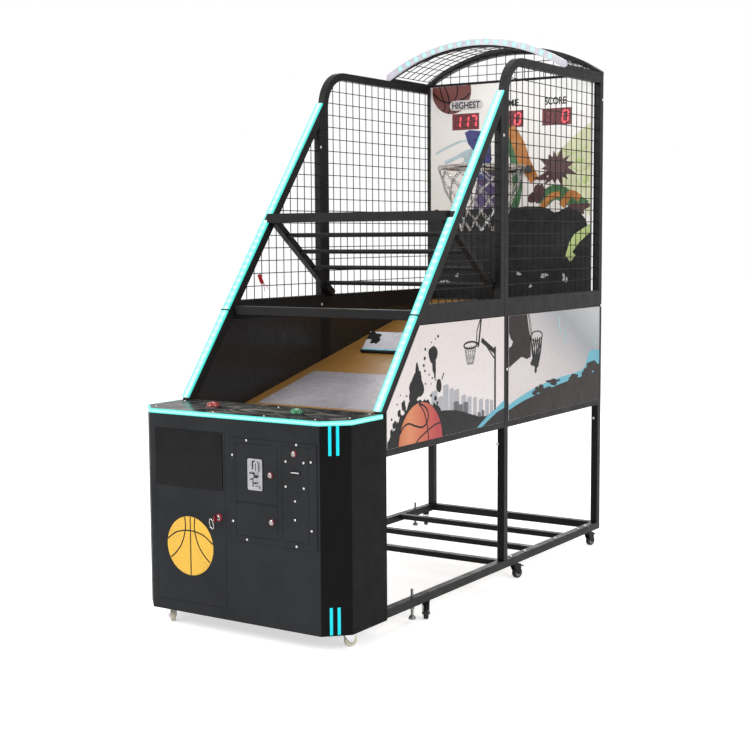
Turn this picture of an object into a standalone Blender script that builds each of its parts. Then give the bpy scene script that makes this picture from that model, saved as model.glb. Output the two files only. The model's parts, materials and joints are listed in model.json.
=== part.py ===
"""Basketball hoop arcade machine: coin cabinet, mesh cage, ramp, backboard, hoop and lit arch.

Metres, +Z up, floor at z = 0. The player stands at -Y, X runs left to right.
"""

import math

import bmesh
import bpy
from mathutils import Matrix, Vector

for old in list(bpy.data.objects):
    bpy.data.objects.remove(old, do_unlink=True)

# ---- driving dimensions -------------------------------------------------------------------
GAP = 0.0003            # clearance between bolted pieces
TUBE = 0.035            # square steel tube
POST_TUBE = 0.042       # depth of the slanted post behind its front face
OUT_X = 0.496           # outer face of the side tubes
IN_X = OUT_X - TUBE     # inner face of the side tubes
MID_X = 0.476           # plane of the meshes, the side casters and the levelling feet
INNER_HALF = IN_X - 0.0005      # half width of pieces that span between the sides

CAB_FRONT = -1.162
CAB_REAR = -0.838
CAB_HALF = 0.500
CAB_BOTTOM = 0.070
CAB_TOP = 0.860
CAB_WALL = 0.015
CHAMFER = 0.086
CONSOLE_TOP = 0.878
STRIP_REAR = -0.864

JOINT_Y = 0.131         # front section meets rear section
REAR_Y = 1.162
BASE_BOTTOM = 0.075
BASE_TOP = BASE_BOTTOM + TUBE
LOW_RAIL = 0.708        # underside of the rail below the printed panels
PANEL_LOW = LOW_RAIL + TUBE
PANEL_HIGH = 1.201
CAGE_LOW = 1.281
RAIL_TOP = 2.331
CORNER_R = 0.175

POST_FOOT = Vector((-0.868, 0.883))     # (y, z) on the front face of the slanted post
POST_HEAD = Vector((0.129, 2.177))
POST_DIR = (POST_HEAD - POST_FOOT).normalized()
POST_OUT = Vector((-POST_DIR.y, POST_DIR.x))

RAMP_Z = 0.828          # ramp surface at RAMP_Y
RAMP_Y = -0.492
RAMP_SLOPE = 0.2447
RAMP_BOARD = 0.012

BOARD_Y = 1.105         # front face of the backboard
BOARD_THICK = 0.010
HOOP_Y = 0.820
HOOP_Z = 1.890
HOOP_R = 0.210
HOOP_BAR = 0.009

PLATE_FRONT = CAB_FRONT - 0.003
WHEEL_R = 0.025

main = bpy.data.collections.new("hoop_machine")
helpers = bpy.data.collections.new("cutters")
bpy.context.scene.collection.children.link(main)
bpy.context.scene.collection.children.link(helpers)


# ---- materials ----------------------------------------------------------------------------
def material(name, colour, rough=0.5, metal=0.0, glow=0.0):
    made = bpy.data.materials.new(name)
    made.use_nodes = True
    shader = made.node_tree.nodes["Principled BSDF"]
    shader.inputs["Base Color"].default_value = (*colour, 1.0)
    shader.inputs["Roughness"].default_value = rough
    shader.inputs["Metallic"].default_value = metal
    if glow:
        shader.inputs["Emission Color"].default_value = (*colour, 1.0)
        shader.inputs["Emission Strength"].default_value = glow
    made.diffuse_color = (*colour, 1.0)
    return made


FRAME = material("frame_black_powder_coat", (0.035, 0.035, 0.038), 0.45)
CABINET = material("cabinet_black_paint", (0.030, 0.034, 0.038), 0.40)
GLOSS = material("gloss_black_acrylic", (0.015, 0.015, 0.017), 0.08)
PRINT = material("printed_panel", (0.72, 0.68, 0.70), 0.30)
BOARD = material("printed_backboard", (0.80, 0.79, 0.80), 0.20)
LED = material("led_cyan", (0.20, 0.93, 0.97), 0.40, glow=2.0)
LIGHT_FACE = material("light_plate_white", (0.80, 0.76, 0.84), 0.35)
WOOD = material("ramp_wood", (0.55, 0.30, 0.08), 0.45)
GATE = material("gate_white_print", (0.75, 0.80, 0.84), 0.35)
WIRE = material("mesh_wire_black", (0.03, 0.03, 0.03), 0.45)
STEEL = material("bright_steel", (0.62, 0.60, 0.57), 0.30, 1.0)
ZINC = material("zinc_plate", (0.55, 0.56, 0.58), 0.35, 1.0)
CHAIN = material("chain_steel", (0.60, 0.60, 0.60), 0.30, 1.0)
KEY_RED = material("key_red_plastic", (0.35, 0.02, 0.03), 0.40)
RED = material("button_red", (0.75, 0.02, 0.02), 0.20)
GREEN = material("button_green", (0.02, 0.55, 0.22), 0.20)
DISPLAY = material("display_red_window", (0.12, 0.01, 0.015), 0.15)
TYRE = material("wheel_black_rubber", (0.02, 0.02, 0.02), 0.60)
HUB = material("wheel_hub_grey", (0.70, 0.66, 0.64), 0.40)
NYLON = material("wheel_cream_nylon", (0.78, 0.72, 0.55), 0.45)


# ---- shape tools --------------------------------------------------------------------------
def finish(name, bm, mats, hidden=False, slot=0, smooth=False):
    """One object from a bmesh, faces turned outwards."""
    bmesh.ops.recalc_face_normals(bm, faces=bm.faces)
    for face in bm.faces:
        face.material_index = max(face.material_index, slot)
    mesh = bpy.data.meshes.new(name)
    bm.to_mesh(mesh)
    bm.free()
    if smooth:
        mesh.shade_smooth()
        mesh.set_sharp_from_angle(angle=math.radians(34))
    for mat in mats:
        mesh.materials.append(mat)
    obj = bpy.data.objects.new(name, mesh)
    if hidden:
        helpers.objects.link(obj)
        obj.hide_render = True
        obj.display_type = "WIRE"
    else:
        main.objects.link(obj)
    return obj


def extrude(name, loops, axis, low, high, mats, hidden=False, slot=0):
    """A flat outline with holes, extruded along X, Y or Z. Outlines are (y, z), (x, z) or (x, y)."""
    curve = bpy.data.curves.new(name, "CURVE")
    curve.dimensions = "2D"
    curve.fill_mode = "BOTH"
    curve.extrude = (high - low) / 2
    for loop in loops:
        spline = curve.splines.new("POLY")
        spline.points.add(len(loop) - 1)
        for point, (u, v) in zip(spline.points, loop):
            point.co = (u, v, 0.0, 1.0)
        spline.use_cyclic_u = True
    holder = bpy.data.objects.new(name, curve)
    flat = bpy.data.meshes.new_from_object(holder)
    bpy.data.objects.remove(holder)
    bm = bmesh.new()
    bm.from_mesh(flat)
    bpy.data.meshes.remove(flat)
    bmesh.ops.remove_doubles(bm, verts=bm.verts, dist=1e-6)
    middle = (low + high) / 2
    if axis == "X":
        turn = Matrix(((0, 0, 1, middle), (1, 0, 0, 0), (0, 1, 0, 0), (0, 0, 0, 1)))
    elif axis == "Y":
        turn = Matrix(((1, 0, 0, 0), (0, 0, -1, middle), (0, 1, 0, 0), (0, 0, 0, 1)))
    else:
        turn = Matrix.Translation((0, 0, middle))
    bmesh.ops.transform(bm, matrix=turn, verts=bm.verts)
    return finish(name, bm, mats, hidden, slot)


def rect(u0, u1, v0, v1):
    return [(u0, v0), (u1, v0), (u1, v1), (u0, v1)]


def rounded(u0, u1, v0, v1, radius, steps=4):
    """A rectangle with round corners."""
    points = []
    corners = ((u1 - radius, v0 + radius, -90), (u1 - radius, v1 - radius, 0),
               (u0 + radius, v1 - radius, 90), (u0 + radius, v0 + radius, 180))
    for u, v, start in corners:
        for i in range(steps + 1):
            angle = math.radians(start + 90 * i / steps)
            points.append((u + radius * math.cos(angle), v + radius * math.sin(angle)))
    return points


def clipped(points, size):
    """The outline with its sharp corners cut off, so that it clears the welds in a frame's corners."""
    made = []
    for before, here, after in zip(points[-1:] + points[:-1], points, points[1:] + points[:1]):
        here, back, on = Vector(here), Vector(before) - Vector(here), Vector(after) - Vector(here)
        if back.angle(-on) < math.radians(30):
            made.append(tuple(here))
        else:
            made += [tuple(here + back.normalized() * size), tuple(here + on.normalized() * size)]
    return made


def box(name, x, y, z, mats, hidden=False, slot=0):
    bm = bmesh.new()
    centre = Vector((sum(x), sum(y), sum(z))) / 2
    size = Matrix.Diagonal((x[1] - x[0], y[1] - y[0], z[1] - z[0], 1))
    bmesh.ops.create_cube(bm, size=1, matrix=Matrix.Translation(centre) @ size)
    return finish(name, bm, mats, hidden, slot)


def lathe(name, profile, segments, axis, centre, mats, hidden=False, bands=()):
    """A profile of (radius, height) turned about an axis through centre.

    A profile that starts off the axis is a ring and closes on itself. bands gives the second
    material to the surfaces between two heights, outside a radius: (low, high, radius).
    """
    bm = bmesh.new()
    points = [bm.verts.new((radius, 0, height)) for radius, height in profile]
    ends = points[1:] + (points[:1] if profile[0][0] > 1e-7 else [])
    for first, second in zip(points, ends):
        bm.edges.new((first, second))
    outline = finish(f"{name}_profile", bm, [], hidden=True)
    turned = outline.modifiers.new("turned", "SCREW")
    turned.steps = turned.render_steps = segments
    turned.use_merge_vertices = True
    turned.merge_threshold = 1e-6
    graph = bpy.context.evaluated_depsgraph_get()
    surface = bpy.data.meshes.new_from_object(outline.evaluated_get(graph))
    bpy.data.objects.remove(outline, do_unlink=True)
    bm = bmesh.new()
    bm.from_mesh(surface)
    bpy.data.meshes.remove(surface)
    for face in bm.faces:
        middle = face.calc_center_median()
        for low, high, radius in bands:
            if low < middle.z < high and middle.xy.length > radius:
                face.material_index = 1
    turn = Vector((0, 0, 1)).rotation_difference(Vector(axis)).to_matrix().to_4x4()
    bmesh.ops.transform(bm, matrix=Matrix.Translation(centre) @ turn, verts=bm.verts)
    return finish(name, bm, mats, hidden, smooth=True)


def rod(name, start, end, radius, mats, hidden=True, segments=16, slot=0):
    """A round bar between two points."""
    start, end = Vector(start), Vector(end)
    bm = bmesh.new()
    turn = Vector((0, 0, 1)).rotation_difference(end - start).to_matrix().to_4x4()
    bmesh.ops.create_cone(bm, cap_ends=True, segments=segments, radius1=radius, radius2=radius,
                          depth=(end - start).length, matrix=Matrix.Translation((start + end) / 2) @ turn)
    return finish(name, bm, mats, hidden, slot, smooth=True)


def boolean(obj, other, operation):
    step = obj.modifiers.new(f"{operation.lower()}_{other.name}"[:60], "BOOLEAN")
    step.operation = operation
    step.solver = "EXACT"
    step.object = other


def join(obj, *others):
    for other in others:
        boolean(obj, other, "UNION")


def cut(obj, *others):
    for other in others:
        boolean(obj, other, "DIFFERENCE")


def bevel(obj, width, segments=1):
    step = obj.modifiers.new("rounded_edges", "BEVEL")
    step.width = width
    step.segments = segments
    step.limit_method = "ANGLE"
    step.angle_limit = math.radians(40)


def attach(parent, *children):
    """The children follow the parent from where they are."""
    for child in children:
        child.parent = parent
        child.matrix_parent_inverse = Matrix.Translation(-parent.location)


def origin(obj, point):
    """Puts the origin on a joint axis and leaves the shape where it is."""
    obj.data.transform(Matrix.Translation(-Vector(point)))
    obj.location = point
    attach(obj, *[step.object for step in obj.modifiers if step.type == "BOOLEAN"])


def arc(radius, centre_z, half, steps):
    """Points (x, z) along an arch from +half to -half."""
    edge = math.asin(half / radius)
    angles = [edge - 2 * edge * i / steps for i in range(steps + 1)]
    return [(radius * math.sin(a), centre_z + radius * math.cos(a)) for a in angles]


def arch_radius(half, rise):
    return (half * half + rise * rise) / (2 * rise)


def arch_line(half, foot_z, peak_z, steps):
    radius = arch_radius(half, peak_z - foot_z)
    return arc(radius, peak_z - radius, half, steps)


def along_post(distance, out):
    """(y, z) at a distance up the slanted post, out from its front face."""
    point = POST_FOOT + POST_DIR * distance + POST_OUT * out
    return (point.x, point.y)


def post_face_z(y, out):
    """Height at y of a line parallel to the post's front face."""
    start = POST_FOOT + POST_OUT * out
    return start.y + (y - start.x) * POST_DIR.y / POST_DIR.x


def post_face_y(z, out):
    start = POST_FOOT + POST_OUT * out
    return start.x + (z - start.y) * POST_DIR.x / POST_DIR.y


def ramp_z(y):
    return RAMP_Z + RAMP_SLOPE * (y - RAMP_Y)


# ---- front cabinet ------------------------------------------------------------------------
def cabinet_outline(inset, rear):
    """Plan of the cabinet with its two front corners cut at 45 degrees."""
    half = CAB_HALF - inset
    front = CAB_FRONT + inset
    corner = CHAMFER - inset * (2 - math.sqrt(2))
    return [(-half, rear), (-half, front + corner), (-half + corner, front),
            (half - corner, front), (half, front + corner), (half, rear)]


MAIN_DOOR = (-0.386, -0.032, 0.115, 0.803)
COIN_PLATE = (0.000, 0.404, 0.390, 0.790)
COIN_DOOR = (0.025, 0.222, 0.548, 0.771)
CASH_DOOR = (0.025, 0.222, 0.415, 0.541)
TICKET_DOOR = (0.245, 0.366, 0.416, 0.775)
DOOR_GAP = 0.0012

shell = extrude("cabinet_shell", [cabinet_outline(0, CAB_REAR)], "Z", CAB_BOTTOM, CAB_TOP,
                [CABINET])
hollow = extrude("cabinet_hollow", [cabinet_outline(CAB_WALL, CAB_REAR - CAB_WALL)], "Z",
                 CAB_BOTTOM + CAB_WALL, CAB_TOP + 0.01, [CABINET], hidden=True)
door_hole = extrude("main_door_opening",
                    [rect(MAIN_DOOR[0] - DOOR_GAP, MAIN_DOOR[1] + DOOR_GAP,
                          MAIN_DOOR[2] - DOOR_GAP, MAIN_DOOR[3] + DOOR_GAP)],
                    "Y", CAB_FRONT - 0.01, CAB_FRONT + CAB_WALL + 0.01, [CABINET], hidden=True)
coin_hole = extrude("coin_plate_opening", [rect(0.018, 0.371, 0.410, 0.778)],
                    "Y", CAB_FRONT - 0.01, CAB_FRONT + CAB_WALL + 0.01, [CABINET], hidden=True)
cut(shell, hollow, door_hole, coin_hole)

STRIP_OUT = 0.002
STRIP_IN = 0.006
strip_outer = cabinet_outline(-STRIP_OUT, STRIP_REAR)
strip_inner = cabinet_outline(STRIP_IN, STRIP_REAR)
strip = extrude("console_light_strip", [strip_outer + strip_inner[::-1]], "Z",
                CAB_TOP + GAP, CONSOLE_TOP - 0.0005, [LED])

console = extrude("console_top", [cabinet_outline(STRIP_IN + GAP, CAB_REAR - 0.004)], "Z",
                  CAB_TOP + GAP, CONSOLE_TOP, [GLOSS, FRAME])
BUTTONS = (("red_button", RED, -0.195, -1.030), ("green_button", GREEN, 0.224, -1.041))
for label, colour, bx, by in BUTTONS:
    ring = lathe(f"{label}_ring", [(0.0275, 0.870), (0.0325, 0.870), (0.0325, 0.881), (0.0305, 0.884),
                                   (0.0275, 0.884)], 32, (0, 0, 1), (bx, by, 0),
                 [GLOSS, FRAME], hidden=True, bands=[(0.869, 0.885, 0.02)])
    join(console, ring)
    dome = lathe(label, [(0, 0), (0.0265, 0), (0.0265, 0.004), (0.0250, 0.0085), (0.0205, 0.0140),
                         (0.0125, 0.0185), (0, 0.0205)], 32, (0, 0, 1), (bx, by, CONSOLE_TOP + 0.0055),
                 [colour])
    origin(dome, (bx, by, CONSOLE_TOP + 0.0055))

main_door = extrude("main_door", [rect(*MAIN_DOOR)], "Y", CAB_FRONT, CAB_FRONT + CAB_WALL, [CABINET])
MAIN_LOCK = (-0.064, 0.471)
door_plate = extrude("main_door_plate", [rounded(-0.382, -0.044, 0.577, 0.800, 0.004, 3)], "Y",
                     PLATE_FRONT, CAB_FRONT - GAP, [GLOSS])
HINGE_MAIN = (MAIN_DOOR[0], CAB_FRONT, (MAIN_DOOR[2] + MAIN_DOOR[3]) / 2)

coin_plate = extrude("coin_plate", [rounded(*COIN_PLATE, 0.005, 3)] +
                     [rect(d[0] - DOOR_GAP, d[1] + DOOR_GAP, d[2] - DOOR_GAP, d[3] + DOOR_GAP)
                      for d in (COIN_DOOR, CASH_DOOR, TICKET_DOOR)],
                     "Y", PLATE_FRONT, CAB_FRONT - GAP, [CABINET])


def pan_door(name, size):
    """A folded sheet door: a skin with a lip all round its back."""
    u0, u1, v0, v1 = size
    door = extrude(name, [rounded(u0, u1, v0, v1, 0.003, 2)], "Y", PLATE_FRONT, CAB_FRONT + 0.012,
                   [CABINET, ZINC])
    back = extrude(f"{name}_hollow", [rect(u0 + 0.0025, u1 - 0.0025, v0 + 0.0025, v1 - 0.0025)], "Y",
                   PLATE_FRONT + 0.003, CAB_FRONT + 0.020, [CABINET, ZINC], hidden=True)
    cut(door, back)
    return door


coin_door = pan_door("coin_door", COIN_DOOR)
cash_door = pan_door("cash_door", CASH_DOOR)
ticket_door = pan_door("ticket_door", TICKET_DOOR)

SLOT = (0.286, 0.325, 0.6765, 0.6835)
slot_lip = extrude("ticket_slot_lip", [rounded(SLOT[0] - 0.004, SLOT[1] + 0.004, SLOT[2] - 0.004,
                                               SLOT[3] + 0.004, 0.003, 2)], "Y",
                   PLATE_FRONT - 0.0025, PLATE_FRONT + 0.002, [CABINET, ZINC], hidden=True, slot=1)
slot_hole = extrude("ticket_slot", [rect(*SLOT)], "Y", PLATE_FRONT - 0.01, PLATE_FRONT + 0.01,
                    [CABINET, ZINC], hidden=True, slot=1)
join(ticket_door, slot_lip)
cut(ticket_door, slot_hole)


def lock(name, place, face_y, depth, door, with_key):
    """A cam lock through a door: head, red rosette, barrel and a cam that hangs down."""
    x, z = place
    hole = rod(f"{name}_hole", (x, face_y - 0.02, z), (x, face_y + 0.03, z), 0.0082,
               list(door.data.materials), segments=20)
    cut(door, hole)
    body = lathe(name, [(0, -0.009), (0.0070, -0.009), (0.0095, -0.0075), (0.0095, -0.0012),
                        (0.0125, -0.0012), (0.0125, -GAP), (0.0078, -GAP), (0.0078, depth), (0, depth)],
                 20, (0, 1, 0), (x, face_y, z), [ZINC, KEY_RED], bands=[(-0.0013, -0.0002, 0.0075)])
    cam = extrude(f"{name}_cam", [rounded(x - 0.006, x + 0.006, z - 0.045, z + 0.009, 0.004, 2)], "Y",
                  face_y + depth - 0.0005, face_y + depth + 0.0025, [ZINC, KEY_RED], hidden=True)
    join(body, cam)
    if with_key:
        blade = box(f"{name}_key_blade", (x - 0.001, x + 0.001), (face_y - 0.018, face_y - 0.008),
                    (z - 0.0035, z + 0.0035), [ZINC, KEY_RED], hidden=True)
        bow = extrude(f"{name}_key_bow", [rounded(face_y - 0.033, face_y - 0.013, z - 0.012, z + 0.012,
                                                  0.007, 3)], "X", x - 0.002, x + 0.002,
                      [ZINC, KEY_RED], hidden=True, slot=1)
        join(body, blade, bow)
    origin(body, (x, face_y, z))
    return body


lock("main_door_lock", MAIN_LOCK, CAB_FRONT, 0.018, main_door, True)
lock("coin_door_lock", (0.192, 0.660), PLATE_FRONT, 0.0215, coin_door, False)
lock("cash_door_lock", (0.196, 0.480), PLATE_FRONT, 0.0215, cash_door, False)
lock("ticket_door_lock", (0.303, 0.750), PLATE_FRONT, 0.0215, ticket_door, False)

MECH = (0.085, 0.155, 0.596, 0.717)
MECH_X = (MECH[0] + MECH[1]) / 2
mech = extrude("coin_mech", [rounded(*MECH, 0.008, 4)], "Y", PLATE_FRONT - 0.005, PLATE_FRONT - GAP, [STEEL])
slot_boss = extrude("coin_slot_boss", [rounded(MECH_X - 0.004, MECH_X + 0.020, 0.665, 0.708, 0.0115, 5)],
                    "Y", PLATE_FRONT - 0.011, PLATE_FRONT - 0.003, [STEEL], hidden=True)
coin_slot = extrude("coin_slot", [rounded(MECH_X + 0.0062, MECH_X + 0.0098, 0.671, 0.702, 0.0015, 2)],
                    "Y", PLATE_FRONT - 0.02, PLATE_FRONT - 0.002, [STEEL], hidden=True)
reject = lathe("reject_knob", [(0, 0), (0.010, 0), (0.010, 0.007), (0.008, 0.009), (0, 0.009)], 20,
               (0, -1, 0), (MECH_X - 0.012, PLATE_FRONT - 0.003, 0.653), [STEEL], hidden=True)
cup = extrude("return_cup", [rounded(MECH_X - 0.012, MECH_X + 0.020, 0.606, 0.637, 0.004, 3)], "Y",
              PLATE_FRONT - 0.02, PLATE_FRONT - 0.0018, [STEEL], hidden=True)
cup_lip = extrude("return_cup_lip", [rounded(MECH_X - 0.016, MECH_X + 0.024, 0.602, 0.612, 0.004, 3)],
                  "Y", PLATE_FRONT - 0.010, PLATE_FRONT - 0.003, [STEEL], hidden=True)
join(mech, slot_boss, reject)
cut(mech, coin_slot, cup)
join(mech, cup_lip)

origin(main_door, HINGE_MAIN)
origin(coin_door, (COIN_DOOR[0], PLATE_FRONT, (COIN_DOOR[2] + COIN_DOOR[3]) / 2))
origin(cash_door, (CASH_DOOR[0], PLATE_FRONT, (CASH_DOOR[2] + CASH_DOOR[3]) / 2))
origin(ticket_door, ((TICKET_DOOR[0] + TICKET_DOOR[1]) / 2, PLATE_FRONT, TICKET_DOOR[2]))


# ---- side cage ----------------------------------------------------------------------------
def rear_outline():
    """Rear side frame: two legs, three rails and a large round corner at the top front."""
    front = JOINT_Y + 0.0005
    points = [(front, BASE_TOP + GAP)]
    for i in range(13):
        angle = math.radians(180 - 90 * i / 12)
        points.append((front + CORNER_R + CORNER_R * math.cos(angle),
                       RAIL_TOP - CORNER_R + CORNER_R * math.sin(angle)))
    points += [(REAR_Y, RAIL_TOP), (REAR_Y, BASE_TOP + GAP), (REAR_Y - TUBE, BASE_TOP + GAP),
               (REAR_Y - TUBE, LOW_RAIL), (front + TUBE, LOW_RAIL), (front + TUBE, BASE_TOP + GAP)]
    return points


def rear_cage_opening(inset):
    low, high = CAGE_LOW + inset, RAIL_TOP - TUBE - inset
    front, rear = JOINT_Y + 0.0005 + TUBE + inset, REAR_Y - TUBE - inset
    radius = CORNER_R - TUBE - inset
    points = [(front, low)]
    for i in range(11):
        angle = math.radians(180 - 90 * i / 10)
        points.append((front + radius + radius * math.cos(angle), high - radius + radius * math.sin(angle)))
    return points + [(rear, high), (rear, low)]


def front_outline():
    """Front side frame: slanted post, rear upright, two rails and a short foot on the console."""
    foot_z = CONSOLE_TOP + 0.0005
    upright = CAB_REAR + 0.0005
    return [(upright, LOW_RAIL), (upright, foot_z), (post_face_y(foot_z, 0), foot_z),
            (JOINT_Y, post_face_z(JOINT_Y, 0)), (JOINT_Y, LOW_RAIL)]


def front_cage_opening(inset):
    out = -(POST_TUBE + inset)
    low = CAGE_LOW + inset
    rear = JOINT_Y - TUBE - inset
    return [(post_face_y(low, out), low), (rear, low), (rear, post_face_z(rear, out))]


def front_panel_opening(inset):
    out = -(POST_TUBE + inset)
    front = CAB_REAR + 0.0005 + TUBE + inset
    rear = JOINT_Y - TUBE - inset
    low, high = PANEL_LOW + inset, PANEL_HIGH - inset
    return [(front, low), (rear, low), (rear, high), (post_face_y(high, out), high),
            (front, post_face_z(front, out))]


def rear_panel_opening(inset):
    return rect(JOINT_Y + 0.0005 + TUBE + inset, REAR_Y - TUBE - inset,
                PANEL_LOW + inset, PANEL_HIGH - inset)


SKIN_FRONT = CAB_REAR + 0.005
SKIN_OUT = -0.028
front_skin = [(SKIN_FRONT, PANEL_LOW - 0.006), (0.120, PANEL_LOW - 0.006), (0.120, PANEL_HIGH),
              (post_face_y(PANEL_HIGH, SKIN_OUT), PANEL_HIGH),
              (SKIN_FRONT, post_face_z(SKIN_FRONT, SKIN_OUT))]
rear_skin = rect(0.1640, 1.1290, PANEL_LOW - 0.006, PANEL_HIGH)
POST_LENGTH = (POST_HEAD - POST_FOOT).length

for side, sign in (("left", -1), ("right", 1)):
    def span(a, b):
        return (min(sign * a, sign * b), max(sign * a, sign * b))

    tube_x = span(IN_X, OUT_X)
    front = extrude(f"{side}_front_frame", [front_outline(), front_cage_opening(0), front_panel_opening(0)],
                    "X", *tube_x, [FRAME])
    bevel(front, 0.003)
    rear = extrude(f"{side}_rear_frame", [rear_outline(), rear_cage_opening(0), rear_panel_opening(0)],
                   "X", *tube_x, [FRAME])
    bevel(rear, 0.003)
    wire_x = span(MID_X - 0.002, MID_X + 0.002)
    extrude(f"{side}_front_mesh", [clipped(front_cage_opening(0.0005), 0.005)], "X", *wire_x, [WIRE])
    extrude(f"{side}_rear_mesh", [clipped(rear_cage_opening(0.0005), 0.005)], "X", *wire_x, [WIRE])
    for part, core, skin in (("front", front_panel_opening(0.001), front_skin),
                             ("rear", rear_panel_opening(0.001), rear_skin)):
        panel = extrude(f"{side}_{part}_art_panel", [clipped(core, 0.005)], "X",
                        *span(IN_X + 0.003, OUT_X + 0.001), [FRAME, PRINT])
        sheet = extrude(f"{side}_{part}_skin", [skin], "X", *span(OUT_X + GAP, OUT_X + 0.0038),
                        [FRAME, PRINT], hidden=True, slot=1)
        join(panel, sheet)
    extrude(f"{side}_post_light", [[along_post(0.004, GAP), along_post(POST_LENGTH - 0.006, GAP),
                                    along_post(POST_LENGTH - 0.006, 0.008), along_post(0.004, 0.008)]],
            "X", *span(IN_X + 0.0005, OUT_X - 0.0005), [LED])

# ---- base ---------------------------------------------------------------------------------
BARS = (CAB_REAR + 0.0005, JOINT_Y + 0.0005, 0.460, 0.790, REAR_Y - TUBE)
base = extrude("base_frame", [rect(-OUT_X, OUT_X, BARS[0], REAR_Y),
                              rect(-IN_X, IN_X, BARS[0] + TUBE, REAR_Y - TUBE)], "Z",
               BASE_BOTTOM, BASE_TOP, [FRAME])
for index, start in enumerate(BARS[1:-1]):
    join(base, box(f"cross_rail_{index}", (-IN_X - 0.010, IN_X + 0.010), (start, start + TUBE),
                   (BASE_BOTTOM + 0.009, BASE_TOP - 0.0015), [FRAME], hidden=True))
bevel(base, 0.003)
FEET = (("levelling_foot_right", MID_X, -0.617), ("levelling_foot_left", -MID_X, 0.960))
for label, fx, fy in FEET:
    cut(base, rod(f"{label}_hole", (fx, fy, 0.05), (fx, fy, 0.14), 0.0065, [FRAME], segments=16))
    foot = lathe(label, [(0, 0.020), (0.0150, 0.020), (0.0150, 0.027), (0.0080, 0.036), (0.0060, 0.037),
                         (0.0060, 0.061), (0.0100, 0.061), (0.0100, 0.070), (0.0058, 0.070),
                         (0.0058, 0.142), (0.0040, 0.144), (0, 0.144)], 16, (0, 0, 1), (fx, fy, 0),
                 [ZINC, FRAME], bands=[(0.071, 0.145, -1)])
    origin(foot, (fx, fy, 0.020))


def caster(label, x, y, top, turn, dark):
    """A swivel caster: fork with axle and brake pedal, and a wheel. turn is the swivel in degrees."""
    fork_mats = [FRAME if dark else ZINC]
    trail = 0.018
    crown = top - 0.010
    fork = lathe(f"caster_fork_{label}", [(0, crown), (0.0160, crown), (0.0180, top - 0.004), (0.0180, top),
                                         (0, top)], 20, (0, 0, 1), (0, 0, 0), fork_mats)
    web = box(f"{label}_web", (-0.012, 0.028), (-0.0145, 0.0145), (crown - 0.005, crown + 0.002),
              fork_mats, hidden=True)
    parts = [web]
    cheek = [(-0.012, crown), (0.028, crown), (0.031, crown - 0.018), (trail + 0.007, WHEEL_R - 0.006),
             (trail - 0.007, WHEEL_R - 0.006), (-0.010, crown - 0.014)]
    for wall in ((-0.0145, -0.0120), (0.0120, 0.0145)):
        parts.append(extrude(f"{label}_cheek_{len(parts)}", [cheek], "Y", *wall, fork_mats, hidden=True))
    parts.append(rod(f"{label}_axle", (trail, -0.0165, WHEEL_R), (trail, 0.0165, WHEEL_R), 0.0038,
                     fork_mats, segments=12))
    pedal = [(0.026, crown - 0.005), (0.030, crown - 0.001), (0.052, crown - 0.011), (0.050, crown - 0.015),
             (0.026, crown - 0.008)]
    parts.append(extrude(f"{label}_pedal", [pedal], "Y", -0.011, 0.011, fork_mats, hidden=True))
    join(fork, *parts)
    rim_mats = [TYRE, HUB] if dark else [NYLON, ZINC]
    profile = [(0.0044, -0.0105), (0.0105, -0.0105), (0.0125, -0.0085), (0.0190, -0.0095),
               (WHEEL_R, -0.0070), (WHEEL_R, 0.0070), (0.0190, 0.0095), (0.0125, 0.0085),
               (0.0105, 0.0105), (0.0044, 0.0105)]
    faces = [(-0.0096, -0.0084, 0.0125), (0.0084, 0.0096, 0.0125)]
    wheel = lathe(f"caster_wheel_{label}", profile, 20, (0, 1, 0), (trail, 0, WHEEL_R), rim_mats,
                  bands=faces)
    origin(fork, (0, 0, top))
    origin(wheel, (trail, 0, WHEEL_R))
    swivel = bpy.data.objects.new(f"caster_{label}", None)
    main.objects.link(swivel)
    swivel.location = (x, y, 0)
    swivel.rotation_euler = (0, 0, math.radians(turn))
    fork.parent = swivel
    wheel.parent = swivel


CAB_CASTER_TOP = CAB_BOTTOM - GAP
BASE_CASTER_TOP = BASE_BOTTOM - GAP
CASTERS = (("cabinet_left", -0.360, -1.105, CAB_CASTER_TOP, 137, False),
           ("cabinet_right", 0.430, -1.020, CAB_CASTER_TOP, 60, False),
           ("front_left", -MID_X, -0.510, BASE_CASTER_TOP, 110, True),
           ("front_right", MID_X, -0.510, BASE_CASTER_TOP, -57, True),
           ("middle_left", -MID_X, 0.270, BASE_CASTER_TOP, 95, True),
           ("middle_right", MID_X, 0.270, BASE_CASTER_TOP, 75, True),
           ("rear_left", -MID_X, 1.070, BASE_CASTER_TOP, 120, True),
           ("rear_right", MID_X, 1.070, BASE_CASTER_TOP, 80, True))
for entry in CASTERS:
    caster(*entry)

# ---- playfield ----------------------------------------------------------------------------
ramp_front, ramp_rear = CAB_REAR + 0.0015, BOARD_Y - 0.0005
extrude("ramp", [[(ramp_front, ramp_z(ramp_front) - RAMP_BOARD), (ramp_rear, ramp_z(ramp_rear) - RAMP_BOARD),
                  (ramp_rear, ramp_z(ramp_rear)), (ramp_front, ramp_z(ramp_front))]],
        "X", -INNER_HALF, INNER_HALF, [WOOD])

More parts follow.
